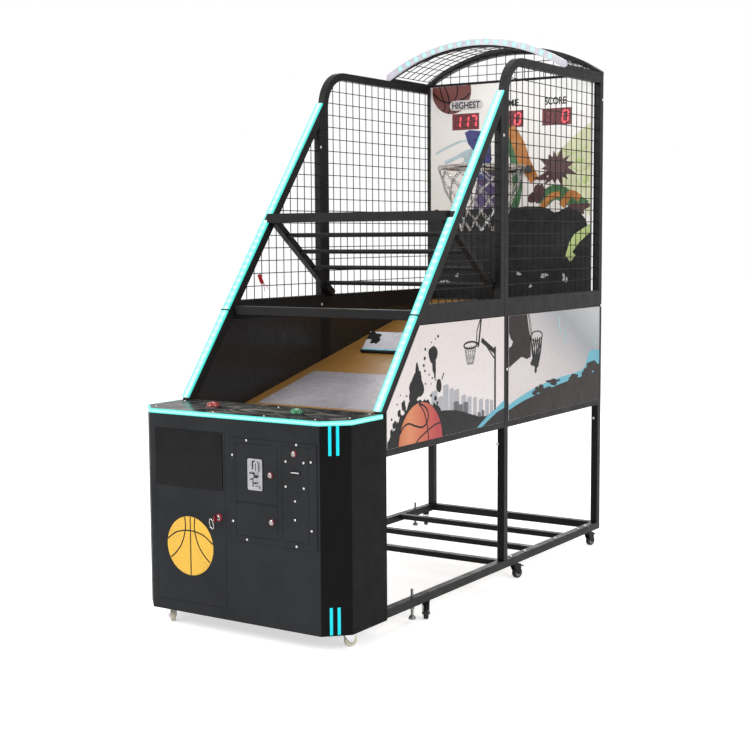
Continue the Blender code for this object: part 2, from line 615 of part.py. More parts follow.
GATE_Y = 0.222
GATE_HALF = 0.319
GATE_ANGLE = math.radians(47)
GATE_LENGTH = 0.117
gate_axis = Vector((GATE_Y, ramp_z(GATE_Y) + 0.0085))
lift = Vector((math.cos(GATE_ANGLE), math.sin(GATE_ANGLE)))
face = Vector((-lift.y, lift.x))
gate_points = [gate_axis - face * 0.005, gate_axis + lift * GATE_LENGTH - face * 0.005,
               gate_axis + lift * GATE_LENGTH + face * 0.005, gate_axis + face * 0.005]
gate = extrude("ball_gate", [[(p.x, p.y) for p in gate_points]], "X", -GATE_HALF, GATE_HALF, [GATE, FRAME])
join(gate, rod("gate_barrel", (-GATE_HALF - 0.004, gate_axis.x, gate_axis.y),
               (GATE_HALF + 0.004, gate_axis.x, gate_axis.y), 0.0075, [GATE, FRAME], slot=1))
origin(gate, (0, gate_axis.x, gate_axis.y))

box("cross_beam", (-INNER_HALF, INNER_HALF), (-0.562, -0.522), (1.217, 1.257), [FRAME])
bevel(bpy.data.objects["cross_beam"], 0.003)

GRILLE_TOP = Vector((0, -0.299, 1.637))
GRILLE_LOW = Vector((0, 0.161, 1.285))
grille_dir = (GRILLE_LOW - GRILLE_TOP).normalized()
grille_up = Vector((0, -grille_dir.z, grille_dir.y))
grille = box("anti_climb_grille", (-INNER_HALF, INNER_HALF), (GRILLE_TOP.y - 0.020, GRILLE_TOP.y + 0.020),
             (GRILLE_TOP.z - 0.020, GRILLE_TOP.z + 0.020), [FRAME])
for sign in (-1, 1):
    near, far = GRILLE_TOP + grille_dir * 0.008, GRILLE_LOW
    depth = grille_up * 0.015
    arm = [near + depth, far + depth, far - depth, near - depth]
    low, high = sorted((sign * (INNER_HALF - 0.030), sign * (INNER_HALF - 0.001)))
    join(grille, extrude(f"grille_arm_{sign}", [[(p.y, p.z) for p in arm]], "X", low, high, [FRAME],
                         hidden=True))
for index in range(4):
    place = GRILLE_TOP + grille_dir * (0.1255 + 0.1218 * index)
    end = Vector((INNER_HALF - 0.012, 0, 0))
    join(grille, rod(f"grille_rod_{index}", place - end, place + end, 0.010, [FRAME], segments=12))

# ---- backboard, display and hoop ----------------------------------------------------------
WINDOWS = (-0.250, 0.005, 0.270)
WINDOW_HALF = 0.080
WINDOW_Z = (2.102, 2.186)
board_low = ramp_z(BOARD_Y) + 0.004
windows = [rect(x - WINDOW_HALF, x + WINDOW_HALF, *WINDOW_Z) for x in WINDOWS]
extrude("backboard", [rect(-INNER_HALF, INNER_HALF, board_low, RAIL_TOP - 0.0005)] + windows, "Y",
        BOARD_Y, BOARD_Y + BOARD_THICK, [BOARD])
display = box("score_display", (-0.370, 0.390), (BOARD_Y + BOARD_THICK + GAP, BOARD_Y + 0.045),
              (WINDOW_Z[0] - 0.020, WINDOW_Z[1] + 0.020), [FRAME, DISPLAY])
for index, x in enumerate(WINDOWS):
    join(display, box(f"display_lens_{index}", (x - WINDOW_HALF + 0.0005, x + WINDOW_HALF - 0.0005),
                      (BOARD_Y + 0.001, BOARD_Y + 0.020), (WINDOW_Z[0] + 0.0005, WINDOW_Z[1] - 0.0005),
                      [FRAME, DISPLAY], hidden=True, slot=1))

rim_turns = [math.pi * i / 4 for i in range(8)]
rim = lathe("hoop_rim", [(HOOP_R + HOOP_BAR * math.cos(a), HOOP_BAR * math.sin(a)) for a in rim_turns],
            40, (0, 0, 1), (0, HOOP_Y, HOOP_Z), [STEEL, FRAME])
join(rim,
     box("hoop_arm", (-0.055, 0.055), (HOOP_Y + HOOP_R - 0.004, BOARD_Y - 0.004), (1.883, 1.897),
         [STEEL, FRAME], hidden=True, slot=1),
     box("hoop_flange", (-0.133, 0.133), (BOARD_Y - 0.010, BOARD_Y - GAP), (1.873, 1.907),
         [STEEL, FRAME], hidden=True, slot=1))

NET_COLUMNS = 12
NET_RINGS = ((0.206, -0.0125), (0.198, -0.060), (0.178, -0.110), (0.156, -0.160), (0.136, -0.210),
             (0.120, -0.260), (0.112, -0.310))
bm = bmesh.new()
net_rings = []
for row, (radius, drop) in enumerate(NET_RINGS):
    angles = [2 * math.pi * (i + 0.5 * (row % 2)) / NET_COLUMNS for i in range(NET_COLUMNS)]
    net_rings.append([bm.verts.new((radius * math.cos(a), HOOP_Y + radius * math.sin(a), HOOP_Z + drop))
                      for a in angles])
for row in range(len(net_rings) - 2):
    for i in range(NET_COLUMNS):
        left = (i - 1 + row % 2) % NET_COLUMNS
        right = (i + row % 2) % NET_COLUMNS
        bm.faces.new((net_rings[row][i], net_rings[row + 1][left], net_rings[row + 2][i],
                      net_rings[row + 1][right]))
net = finish("chain_net", bm, [CHAIN])
wires = net.modifiers.new("strands", "WIREFRAME")
wires.thickness = 0.005
wires.use_even_offset = True
wires.use_boundary = True
wires.use_replace = True

# ---- arched roof --------------------------------------------------------------------------
ROOF_BASE = RAIL_TOP + GAP
outer = arch_line(OUT_X, 2.352, 2.505, 36)
inner = arch_line(OUT_X - TUBE, 2.352, 2.470, 36)
rear_loop = [(OUT_X, ROOF_BASE)] + outer + [(-OUT_X, ROOF_BASE)]
opening = [(OUT_X - TUBE, ROOF_BASE + 0.015)] + inner + [(-OUT_X + TUBE, ROOF_BASE + 0.015)]
roof = extrude("roof_frame", [rear_loop, opening], "Y", REAR_Y - TUBE, REAR_Y, [FRAME])
front_out = arch_line(OUT_X, 2.338, 2.482, 36)
front_in = arch_line(OUT_X - 0.006, 2.3325, 2.462, 36)
join(roof, extrude("roof_front_arch", [[(OUT_X, ROOF_BASE)] + front_out + [(-OUT_X, ROOF_BASE)] +
                                       front_in[::-1]], "Y", 0.745, 0.765, [FRAME], hidden=True))
for sign in (-1, 1):
    low, high = sorted((sign * IN_X, sign * OUT_X))
    join(roof, box(f"roof_side_bar_{sign}", (low, high), (0.745, REAR_Y - 0.010),
                   (ROOF_BASE, ROOF_BASE + 0.014), [FRAME], hidden=True))

vault_top = arch_line(OUT_X - TUBE - 0.002, 2.3575, 2.4875, 28)
vault_low = arch_line(OUT_X - TUBE - 0.002, 2.3535, 2.4835, 28)
hood = extrude("roof_mesh", [vault_top + vault_low[::-1]], "Y", 0.7655, REAR_Y - TUBE - 0.0005, [WIRE])
infill_half = OUT_X - TUBE - 0.004
infill = [(infill_half, ROOF_BASE + 0.006)] + arch_line(infill_half, 2.3560, 2.4855, 28)
infill.append((-infill_half, ROOF_BASE + 0.006))
join(hood, extrude("roof_mesh_back", [infill], "Y", REAR_Y - TUBE - 0.0045, REAR_Y - TUBE - 0.0005, [WIRE],
                   hidden=True))

plate_out = arch_line(0.497, 2.362, 2.500, 40)
plate_in = arch_line(0.481, 2.3320, 2.472, 40)
plate = [(0.490, 2.3335), (0.4985, 2.343)] + plate_out + [(-0.4985, 2.343), (-0.490, 2.3335)]
extrude("arch_light_plate", [plate + plate_in[::-1]], "Y", 0.7320, 0.7445, [LIGHT_FACE])
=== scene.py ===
"""Looks of the basketball hoop machine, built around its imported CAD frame.

Metres, +Z up, the player at -Y. Every piece is made where the CAD has it and rides on a body.
"""

import json
import math
import random

import bmesh
import bpy
from mathutils import Matrix, Vector


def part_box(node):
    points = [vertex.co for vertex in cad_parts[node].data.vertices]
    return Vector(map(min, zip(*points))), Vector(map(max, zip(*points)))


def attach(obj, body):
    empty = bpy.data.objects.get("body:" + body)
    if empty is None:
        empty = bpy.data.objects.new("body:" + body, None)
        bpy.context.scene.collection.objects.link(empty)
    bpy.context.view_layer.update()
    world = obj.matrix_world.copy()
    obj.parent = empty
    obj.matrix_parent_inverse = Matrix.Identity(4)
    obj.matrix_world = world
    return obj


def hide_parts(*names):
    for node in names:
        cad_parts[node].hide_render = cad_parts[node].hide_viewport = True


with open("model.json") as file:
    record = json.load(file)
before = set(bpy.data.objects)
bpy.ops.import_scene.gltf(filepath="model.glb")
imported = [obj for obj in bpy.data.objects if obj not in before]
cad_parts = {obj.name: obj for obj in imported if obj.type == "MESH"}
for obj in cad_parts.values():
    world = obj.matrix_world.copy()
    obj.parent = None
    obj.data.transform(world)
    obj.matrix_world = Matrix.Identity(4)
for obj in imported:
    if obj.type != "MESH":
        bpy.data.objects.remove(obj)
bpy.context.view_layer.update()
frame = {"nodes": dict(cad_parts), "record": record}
NODES = frame["nodes"]
TAU = 2 * math.pi


# ---- shader graphs ------------------------------------------------------------------------
class Graph:
    """One node material with a Principled shader, built up call by call."""

    def __init__(self, name, **fixed):
        self.made = bpy.data.materials.new(name)
        self.made.use_nodes = True
        self.nodes = self.made.node_tree.nodes
        self.links = self.made.node_tree.links
        self.shader = self.nodes["Principled BSDF"]
        for socket, value in fixed.items():
            self.set(socket.replace("_", " "), value)

    def feed(self, into, value):
        """Link a socket to an input, or set the input to a number or a colour."""
        if isinstance(value, bpy.types.NodeSocket):
            self.links.new(value, into)
        else:
            into.default_value = (*value, 1.0) if into.type == "RGBA" else value

    def set(self, socket, value):
        self.feed(self.shader.inputs[socket], value)

    def node(self, kind, inputs=(), out=0, **props):
        made = self.nodes.new(kind)
        for key, value in props.items():
            setattr(made, key, value)
        for key, value in inputs:
            self.feed(made.inputs[key], value)
        return made.outputs[out]

    def coords(self, scale=(1, 1, 1)):
        """Row-frame coordinates, which move with the piece."""
        spot = self.node("ShaderNodeTexCoord", out="Object")
        return self.node("ShaderNodeMapping", [("Vector", spot), ("Scale", scale)])

    def axis(self, letter):
        spot = self.node("ShaderNodeTexCoord", out="Object")
        return self.node("ShaderNodeSeparateXYZ", [("Vector", spot)], out=letter)

    def math(self, operation, a, b=0.0):
        return self.node("ShaderNodeMath", [(0, a), (1, b)], operation=operation)

    def add(self, a, b):
        return self.math("ADD", a, b)

    def less(self, a, b):
        return self.math("SUBTRACT", a, b)

    def times(self, a, b):
        return self.math("MULTIPLY", a, b)

    def size(self, a):
        return self.math("ABSOLUTE", a)

    def noise(self, scale, detail=4.0, vector=None, roughness=0.55, distortion=0.0):
        return self.node("ShaderNodeTexNoise", [("Vector", vector or self.coords()), ("Scale", scale),
                                                ("Detail", detail), ("Roughness", roughness),
                                                ("Distortion", distortion)], out="Fac")

    def ramp(self, fac, *stops):
        """stops are (position, colour)."""
        made = self.nodes.new("ShaderNodeValToRGB")
        self.links.new(fac, made.inputs["Fac"])
        band = made.color_ramp
        while len(band.elements) < len(stops):
            band.elements.new(0.5)
        for element, (place, colour) in zip(band.elements, stops):
            element.position = place
            element.color = (*colour, 1.0)
        return made.outputs["Color"]

    def tone(self, fac, colour, low, high):
        """One colour, from its low to its high shade over a noise's usual spread."""
        return self.ramp(fac, (0.3, shade(colour, low)), (0.7, shade(colour, high)))

    def range(self, fac, low, high, to_low, to_high):
        return self.node("ShaderNodeMapRange", [("Value", fac), ("From Min", low), ("From Max", high),
                                                ("To Min", to_low), ("To Max", to_high)])

    def vary(self, fac, low, high):
        """A number that goes from low to high over a noise's usual spread."""
        return self.range(fac, 0.3, 0.7, low, high)

    def mix(self, fac, a, b):
        return self.node("ShaderNodeMix", [(0, fac), (6, a), (7, b)], out=2, data_type="RGBA")

    def rough(self, scale, detail, low, high):
        self.set("Roughness", self.vary(self.noise(scale, detail), low, high))

    def bump(self, height, strength=0.3, distance=0.001):
        self.set("Normal", self.node("ShaderNodeBump", [("Height", height), ("Strength", strength),
                                                        ("Distance", distance)]))


DUST = (0.3, 0.28, 0.26)
BEHIND = (0.012, 0.012, 0.013)    # black paint on the back of a print or a display


def shade(colour, factor):
    return tuple(min(1.0, c * factor) for c in colour)


def coated(name, colour, rough, grain=900.0, relief=0.25, spread=0.25, dust=0.0, shine=0.5):
    """Powder coat, paint or moulded plastic: fine grain, uneven gloss and slight colour drift."""
    g = Graph(name, Specular_IOR_Level=shine)
    base = g.tone(g.noise(7.0, 5.0), colour, 1 - spread, 1 + spread)
    if dust:
        settled = g.ramp(g.noise(38.0, 8.0, roughness=0.75), (0.52, (0, 0, 0)), (0.8, (dust,) * 3))
        base = g.mix(settled, base, DUST)
    g.set("Base Color", base)
    g.set("Roughness", g.range(g.noise(16.0, 6.0), 0.25, 0.75, rough - 0.09, rough + 0.11))
    g.bump(g.noise(grain, 2.0), relief, 0.0004)
    return g.made


def bare_metal(name, colour, rough, brush=(1, 1, 1), relief=0.12):
    """Plated or brushed metal with streaks, smudges and a little tarnish."""
    g = Graph(name, Metallic=1.0)
    streak = g.noise(420.0, 3.0, g.coords(brush))
    smudge = g.noise(30.0, 6.0, roughness=0.7)
    g.set("Base Color", g.mix(g.range(smudge, 0.35, 0.75, 0.0, 0.5), colour, shade(colour, 0.62)))
    g.set("Roughness", g.add(g.vary(streak, -0.05, 0.08), g.vary(smudge, rough - 0.05, rough + 0.08)))
    g.bump(streak, relief, 0.0003)
    return g.made


def printed(name, colour, drift=0.1, rough=0.3, scale=9.0, shine=0.35):
    """Ink on a laminated sheet: slight mottling, fine dots and a soft orange-peel gloss."""
    g = Graph(name, Specular_IOR_Level=shine)
    mottle = g.add(g.times(g.noise(scale, 5.0), 0.85), g.times(g.noise(1400.0, 0.0), 0.15))
    g.set("Base Color", g.tone(mottle, colour, 1 - drift, 1 + drift))
    g.rough(22.0, 4.0, rough - 0.07, rough + 0.1)
    g.bump(g.noise(120.0, 2.0), 0.05, 0.0004)
    return g.made


def lit(name, colour, core, dots):
    """A lit diffuser. dots(g) gives 0 between the lamps and 1 over a lamp."""
    g = Graph(name, Roughness=0.35, Emission_Strength=1.0)
    haze = g.noise(60.0, 3.0)
    g.set("Base Color", g.tone(haze, colour, 0.15, 0.22))
    g.set("Emission Color", g.mix(dots(g), g.tone(haze, colour, 0.93, 1.0), core))
    g.bump(haze, 0.1, 0.0003)
    return g.made


def lamp_row(g, along, pitch, size, soft=0.35):
    """1 at each lamp of a row along one coordinate, fading out over size."""
    away = g.size(g.less(g.math("FRACT", g.math("DIVIDE", along, pitch)), 0.5))
    return g.range(away, size * soft, size, 1.0, 0.0)


# ---- piece builder ------------------------------------------------------------------------
class Piece:
    """Collects closed shapes into one object."""

    def __init__(self):
        self.bm = bmesh.new()
        self.mat = 0

    def faces(self, points, faces):
        made = [self.bm.verts.new(p) for p in points]
        for loop in faces:
            try:
                self.bm.faces.new([made[i] for i in loop]).material_index = self.mat
            except ValueError:
                continue

    def box(self, low, high):
        x, y, z = zip(low, high)
        self.block([(x[i], y[j], z[k]) for i in (0, 1) for j in (0, 1) for k in (0, 1)])

    def block(self, corners):
        """Six faces on eight corners, given as two rows of two pairs."""
        self.faces(corners, [(0, 1, 3, 2), (4, 6, 7, 5), (0, 4, 5, 1), (2, 3, 7, 6), (0, 2, 6, 4),
                             (1, 5, 7, 3)])

    def prism(self, outline, axis, low, high):
        """A flat outline pushed from low to high along an axis, or along what a function says."""
        place = {"X": lambda u, v, w: (w, u, v), "Y": lambda u, v, w: (u, w, v),
                 "Z": lambda u, v, w: (u, v, w)}.get(axis, axis)
        n = len(outline)
        points = [place(u, v, w) for w in (low, high) for u, v in outline]
        sides = [(i, (i + 1) % n, n + (i + 1) % n, n + i) for i in range(n)]
        self.faces(points, [tuple(range(n - 1, -1, -1)), tuple(range(n, 2 * n))] + sides)

    def tube(self, line, radius, sides=8, closed=False):
        """A round bar along a line of points."""
        line = [Vector(p) for p in line]
        n = len(line)
        turns = [(math.cos(TAU * k / sides), math.sin(TAU * k / sides)) for k in range(sides)]
        rings = []
        guide = None
        for i, here in enumerate(line):
            ahead = line[(i + 1) % n] if closed or i < n - 1 else here
            back = line[i - 1] if closed or i > 0 else here
            along = (ahead - back).normalized()
            if guide is None:
                guide = along.orthogonal().normalized()
            guide = (guide - along * guide.dot(along)).normalized()
            other = along.cross(guide)
            rings.append([here + (guide * c + other * s) * radius for c, s in turns])
        points = [p for ring in rings for p in ring]
        loops = []
        for i in range(n if closed else n - 1):
            a, b = i * sides, ((i + 1) % n) * sides
            loops += [(a + k, a + (k + 1) % sides, b + (k + 1) % sides, b + k) for k in range(sides)]
        if not closed:
            loops += [tuple(range(sides - 1, -1, -1)), tuple((n - 1) * sides + k for k in range(sides))]
        self.faces(points, loops)

    def lathe(self, profile, place, segments=32):
        """A profile of (radius, height) turned about Z, then placed by a matrix."""
        points, rings = [], []
        for radius, height in profile:
            count = 1 if radius < 1e-7 else segments
            rings.append(range(len(points), len(points) + count))
            points += [place @ Vector((radius * math.cos(TAU * i / segments),
                                       radius * math.sin(TAU * i / segments), height))
                       for i in range(count)]
        loops = []
        for a, b in list(zip(rings, rings[1:])) + ([(rings[-1], rings[0])] if len(rings[0]) > 1 else []):
            if len(a) == len(b) == 1:
                continue
            for i in range(segments):
                j = (i + 1) % segments
                corners = (a[i % len(a)], b[i % len(b)], b[j % len(b)], a[j % len(a)])
                loops.append(tuple(dict.fromkeys(corners)))
        self.faces(points, loops)

    def done(self, name, body, mats, bevel=0.0, replaces=()):
        """The finished object, which rides on a body and may stand for CAD nodes."""
        bmesh.ops.recalc_face_normals(self.bm, faces=self.bm.faces)
        mesh = bpy.data.meshes.new(name)
        self.bm.to_mesh(mesh)
        self.bm.free()
        mesh.shade_smooth()
        mesh.set_sharp_from_angle(angle=math.radians(32))
        for mat in mats if isinstance(mats, (list, tuple)) else [mats]:
            mesh.materials.append(mat)
        obj = bpy.data.objects.new(name, mesh)
        bpy.context.scene.collection.objects.link(obj)
        if bevel:
            edge = obj.modifiers.new("edges", "BEVEL")
            edge.width, edge.segments, edge.limit_method = bevel, 2, "ANGLE"
            edge.angle_limit = math.radians(40)
        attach(obj, body)
        if replaces:
            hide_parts(*replaces)


def facing(direction, at, spin=0.0):
    """A matrix that turns +Z to a direction and moves to a point."""
    turn = Vector((0, 0, 1)).rotation_difference(Vector(direction)).to_matrix().to_4x4()
    return Matrix.Translation(at) @ turn @ Matrix.Rotation(spin, 4, "Z")


def circle(cu, cv, ru, rv=None, steps=48, start=0.0):
    rv = ru if rv is None else rv
    return [(cu + ru * math.cos(start + TAU * i / steps), cv + rv * math.sin(start + TAU * i / steps))
            for i in range(steps)]


def mm(*numbers):
    """Points (u, v) in metres from a row of millimetres."""
    return [(u / 1000, v / 1000) for u, v in zip(numbers[::2], numbers[1::2])]


def smooth(points, steps=6, closed=False):
    """A round curve through points."""
    points = [Vector(p) for p in points]
    n = len(points)
    made = []
    for i in range(n if closed else n - 1):
        a, b, c, d = (points[j % n] if closed else points[min(max(j, 0), n - 1)]
                      for j in (i - 1, i, i + 1, i + 2))
        for k in range(steps):
            t = k / steps
            made.append(tuple(0.5 * (2 * b + (c - a) * t + (2 * a - 5 * b + 4 * c - d) * t * t +
                                     (3 * b - a - 3 * c + d) * t ** 3)))
    return made if closed else made + [tuple(points[-1])]


def strip(line, width, closed=False):
    """A drawn line, as one four-cornered patch for each step. width may fall off along it."""
    line = [Vector(p) for p in line]
    n = len(line)
    edges = []
    for i, here in enumerate(line):
        ahead = line[(i + 1) % n] if closed or i < n - 1 else here
        back = line[i - 1] if closed or i > 0 else here
        along = (ahead - back).normalized()
        half = (width(i / (n - 1)) if callable(width) else width) / 2
        across = Vector((-along.y, along.x)) * half
        edges.append((tuple(here + across), tuple(here - across)))
    pairs = zip(edges, edges[1:] + (edges[:1] if closed else []))
    return [[a[0], b[0], b[1], a[1]] for a, b in pairs]


def stroke(width, *numbers):
    """A drawn round line through points given in millimetres."""
    return strip(smooth(mm(*numbers)), width)


def ragged(line, step, height, seed):
    """A line broken into uneven spikes, for a torn or splashed edge."""
    dice = random.Random(seed)
    made = []
    for p, q in zip(line, line[1:]):
        p, q = Vector(p), Vector(q)
        count = max(1, round((q - p).length / step))
        for i in range(count):
            spot = p.lerp(q, (i + dice.uniform(0, 0.5)) / count)
            made.append((spot.x, spot.y + dice.uniform(-0.3, 1.0) * height))
    return made + [tuple(line[-1])]


def blot(cu, cv, ru, rv, seed, rough=0.25, steps=26):
    """An uneven splash of ink."""
    dice = random.Random(seed)
    phases = [dice.uniform(0, TAU) for _ in range(4)]
    made = []
    for i in range(steps):
        a = TAU * i / steps
        wave = sum(math.sin((k + 2) * a + p) / (k + 2) for k, p in enumerate(phases))
        r = 1 + rough * wave + dice.uniform(-0.3, 0.3) * rough
        made.append((cu + ru * r * math.cos(a), cv + rv * r * math.sin(a)))
    return made


def blots(*spots):
    """Splashes given as (u, v, half width, half height, seed, roughness), the lengths in millimetres."""
    return [blot(u / 1000, v / 1000, ru / 1000, rv / 1000, seed, rough)
            for u, v, ru, rv, seed, rough in spots]


def clip(outline, window):
    """The part of an outline inside a convex window, both as (u, v) points."""
    area = sum(a[0] * b[1] - b[0] * a[1] for a, b in zip(window, window[1:] + window[:1]))
    window = window if area > 0 else window[::-1]
    for a, b in zip(window, window[1:] + window[:1]):
        def inside(p):
            return (b[0] - a[0]) * (p[1] - a[1]) - (b[1] - a[1]) * (p[0] - a[0])
        kept = []
        for p, q in zip(outline, outline[1:] + outline[:1]):
            sp, sq = inside(p), inside(q)
            if sp >= 0:
                kept.append(p)
            if (sp > 0 > sq) or (sp < 0 < sq):
                t = sp / (sp - sq)
                kept.append((p[0] + (q[0] - p[0]) * t, p[1] + (q[1] - p[1]) * t))
        outline = kept
        if len(outline) < 3:
            return []
    return outline


def chord(outline, axis, value):
    """Where a straight line crosses a convex outline: axis 0 is u = value, axis 1 is v = value."""
    found = []
    for p, q in zip(outline, outline[1:] + outline[:1]):
        if (p[axis] - value) * (q[axis] - value) < 0:
            t = (value - p[axis]) / (q[axis] - p[axis])
            found.append(p[1 - axis] + (q[1 - axis] - p[1 - axis]) * t)
    return (min(found), max(found)) if len(found) >= 2 else None


# ---- materials ----------------------------------------------------------------------------
SHADED_SIDE_Y = -1.1605    # behind this line the cabinet's corner and sides are painted a deeper black, a painted shade


def cabinet_paint():
    """Fine-textured black paint; the corner and the sides get a deeper black than the front, a painted
    shade of the sides turned from the light.
    """
    g = Graph("cabinet_paint", Specular_IOR_Level=0.06)
    drift = g.noise(5.0, 5.0)
    # 1 on the corner and the sides, where the deeper black paints their shade
    edge = g.math("GREATER_THAN", g.axis("Y"), SHADED_SIDE_Y)
    front = g.ramp(drift, (0.3, (0.0185, 0.0192, 0.021)), (0.7, (0.026, 0.0272, 0.0298)))
    # painted shade: the deeper black of the corner and the sides
    shaded_black = g.ramp(drift, (0.3, (0.004, 0.004, 0.0042)), (0.7, (0.0056, 0.0056, 0.0059)))
    g.set("Base Color", g.mix(edge, front, shaded_black))
    g.set("Roughness", g.range(g.noise(16.0, 6.0), 0.25, 0.75, 0.44, 0.62))
    g.bump(g.noise(1300.0, 2.0), 0.35, 0.0004)
    return g.made


FRAME = coated("frame_powder_coat", (0.01, 0.0095, 0.0098), 0.46, dust=0.012, shine=0.15)
WIRE = coated("mesh_wire", (0.0065, 0.0062, 0.0062), 0.45, relief=0.15, shine=0.12)
# dark blocks in keyholes, coin slots and screw crosses: painted shade where the real thing has an opening
RECESS_SHADE = coated("painted_recess_shade", (0.012, 0.012, 0.013), 0.4, shine=0.3)
STEEL = bare_metal("bright_steel", (0.66, 0.64, 0.61), 0.24)
ZINC = bare_metal("zinc_plate", (0.7, 0.71, 0.72), 0.34)
CHAIN = bare_metal("chain_steel", (0.4, 0.39, 0.38), 0.26)
RUBBER = coated("wheel_rubber", (0.014, 0.014, 0.014), 0.62, grain=500.0, relief=0.4, dust=0.15, shine=0.3)
HUB = coated("wheel_hub", (0.42, 0.39, 0.38), 0.4)
NYLON = coated("wheel_nylon", (0.8, 0.75, 0.6), 0.36, spread=0.12)
KEY_RED = coated("key_plastic", (0.22, 0.008, 0.018), 0.35, shine=0.3)
LOCK_FACE = bare_metal("lock_face", (0.34, 0.33, 0.32), 0.34)
INK = printed("ink_black", (0.0065, 0.006, 0.0064), shine=0.14)


def see_through(name, colour):
    """Coloured clear plastic with depth variation and fine scratches."""
    g = Graph(name, Coat_Weight=0.35, Coat_Roughness=0.05)
    g.set("Base Color", g.tone(g.noise(90.0, 3.0), colour, 0.75, 1.2))
    g.rough(300.0, 4.0, 0.05, 0.16)
    g.bump(g.noise(500.0, 2.0), 0.04, 0.0003)
    return g.made


def smoky_gloss():
    """Console sheet: glossy black acrylic over a smoky grey print."""
    g = Graph("console_gloss", Specular_IOR_Level=0.3, IOR=1.06)
    smoke = g.noise(5.5, 8.0, g.coords((1.0, 2.2, 1.0)), 0.62, 1.6)
    g.set("Base Color", g.ramp(smoke, (0.36, (0.014, 0.015, 0.016)), (0.5, (0.05, 0.052, 0.05)),
                               (0.6, (0.15, 0.14, 0.13)), (0.74, (0.26, 0.24, 0.22))))
    g.rough(40.0, 5.0, 0.05, 0.13)
    g.bump(g.noise(60.0, 2.0), 0.03, 0.0003)
    return g.made


def plain_gloss():
    """Black acrylic plate on the main door."""
    g = Graph("black_acrylic", Specular_IOR_Level=0.1)
    g.set("Base Color", g.ramp(g.noise(12.0, 4.0), (0.3, (0.0052, 0.0046, 0.0052)),
                               (0.7, (0.009, 0.008, 0.009))))
    g.rough(30.0, 6.0, 0.12, 0.24)
    g.bump(g.noise(200.0, 2.0), 0.04, 0.0003)
    return g.made


def wood():
    """Varnished orange-brown board with long grain towards the hoop."""
    g = Graph("ramp_wood")
    long = g.noise(26.0, 6.0, g.coords((9.0, 0.55, 0.55)), 0.6, 0.5)
    fine = g.noise(220.0, 3.0, g.coords((6.0, 0.35, 0.35)))
    tone = g.add(g.times(long, 0.7), g.times(fine, 0.3))
    g.set("Base Color", g.ramp(tone, (0.33, (0.215, 0.098, 0.018)), (0.5, (0.29, 0.142, 0.03)),
                               (0.68, (0.35, 0.185, 0.046))))
    g.rough(20.0, 5.0, 0.3, 0.46)
    g.bump(fine, 0.12, 0.0004)
    return g.made


CYAN = (0.055, 0.76, 0.66)

POST_FOOT = Vector((-0.868, 0.883))
POST_HEAD = Vector((0.129, 2.177))
POST_DIR = (POST_HEAD - POST_FOOT).normalized()
POST_OUT = Vector((-POST_DIR.y, POST_DIR.x))
POST_X = 0.4785
STRIP_Z = 0.869


def post_line(value, out, axis):
    """The y at a z, or the z at a y, on a line beside the slanted post's front edge."""
    start = POST_FOOT + POST_OUT * out
    if axis == "y":
        return start.x + (value - start.y) * POST_DIR.x / POST_DIR.y
    return start.y + (value - start.x) * POST_DIR.y / POST_DIR.x


def post_dots(g):
    along = g.add(g.times(g.axis("Y"), POST_DIR.x), g.times(g.axis("Z"), POST_DIR.y))
    across = g.range(g.size(g.less(g.size(g.axis("X")), POST_X)), 0.006, 0.0165, 1.0, 0.0)
    wash = g.range(g.size(g.less(g.axis("Z"), 1.42)), 0.15, 0.5, 0.5, 0.84)
    return g.times(g.math("MAXIMUM", lamp_row(g, along, 0.036, 0.38), wash), across)


def strip_dots(g):
    along = g.add(g.axis("X"), g.axis("Y"))
    across = g.range(g.size(g.less(g.axis("Z"), STRIP_Z)), 0.001, 0.008, 1.0, 0.0)
    return g.times(g.math("MAXIMUM", lamp_row(g, along, 0.0167, 0.5), 0.75), across)


# ---- CAD nodes that stay ------------------------------------------------------------------
def paint(material, *names):
    for name in names:
        materials = NODES[name].data.materials
        materials.clear()
        materials.append(material)


paint(FRAME, "left_front_frame", "right_front_frame", "left_rear_frame", "right_rear_frame", "base_frame",
      "cross_beam", "anti_climb_grille", "roof_frame")
paint(cabinet_paint(), "cabinet_shell", "coin_plate", "main_door", "coin_door", "cash_door", "ticket_door")
paint(smoky_gloss(), "console_top")
paint(plain_gloss(), "main_door_plate")
paint(lit("led_console", CYAN, (0.6, 0.98, 0.92), strip_dots), "console_light_strip")
paint(lit("led_post", CYAN, (0.84, 1.0, 0.99), post_dots), "left_post_light", "right_post_light")
paint(wood(), "ramp")
paint(see_through("button_red", (0.27, 0.01, 0.008)), "red_button")
paint(see_through("button_green", (0.008, 0.155, 0.055)), "green_button")
paint(bare_metal("mech_plate", (0.36, 0.36, 0.37), 0.42), "coin_mech")
paint(bare_metal("foot_steel", (0.2, 0.2, 0.2), 0.36), "levelling_foot_left", "levelling_foot_right")
paint(coated("panel_dark", (0.01, 0.01, 0.011), 0.5, shine=0.2), "ball_gate")
paint(LOCK_FACE, "coin_door_lock", "cash_door_lock", "ticket_door_lock")

# ---- camera, light and stage --------------------------------------------------------------
scene = bpy.context.scene
camera = bpy.data.objects.new("camera", bpy.data.cameras.new("camera"))
scene.collection.objects.link(camera)
camera.location = (3.3636, -5.2906, 1.5443)
camera.rotation_euler = (math.radians(84.4112), math.radians(0.36), math.radians(33.1659))
camera.data.lens = 66.975
camera.data.sensor_width = 36
scene.camera = camera
scene.view_settings.view_transform = "Standard"


def area_light(name, place, target, size, power):
    lamp = bpy.data.lights.new(name, "AREA")
    lamp.shape, lamp.size, lamp.size_y, lamp.energy = "RECTANGLE", size[0], size[1], power
    obj = bpy.data.objects.new(name, lamp)
    scene.collection.objects.link(obj)
    obj.location = place
    obj.rotation_euler = (Vector(target) - Vector(place)).to_track_quat("-Z", "Y").to_euler()


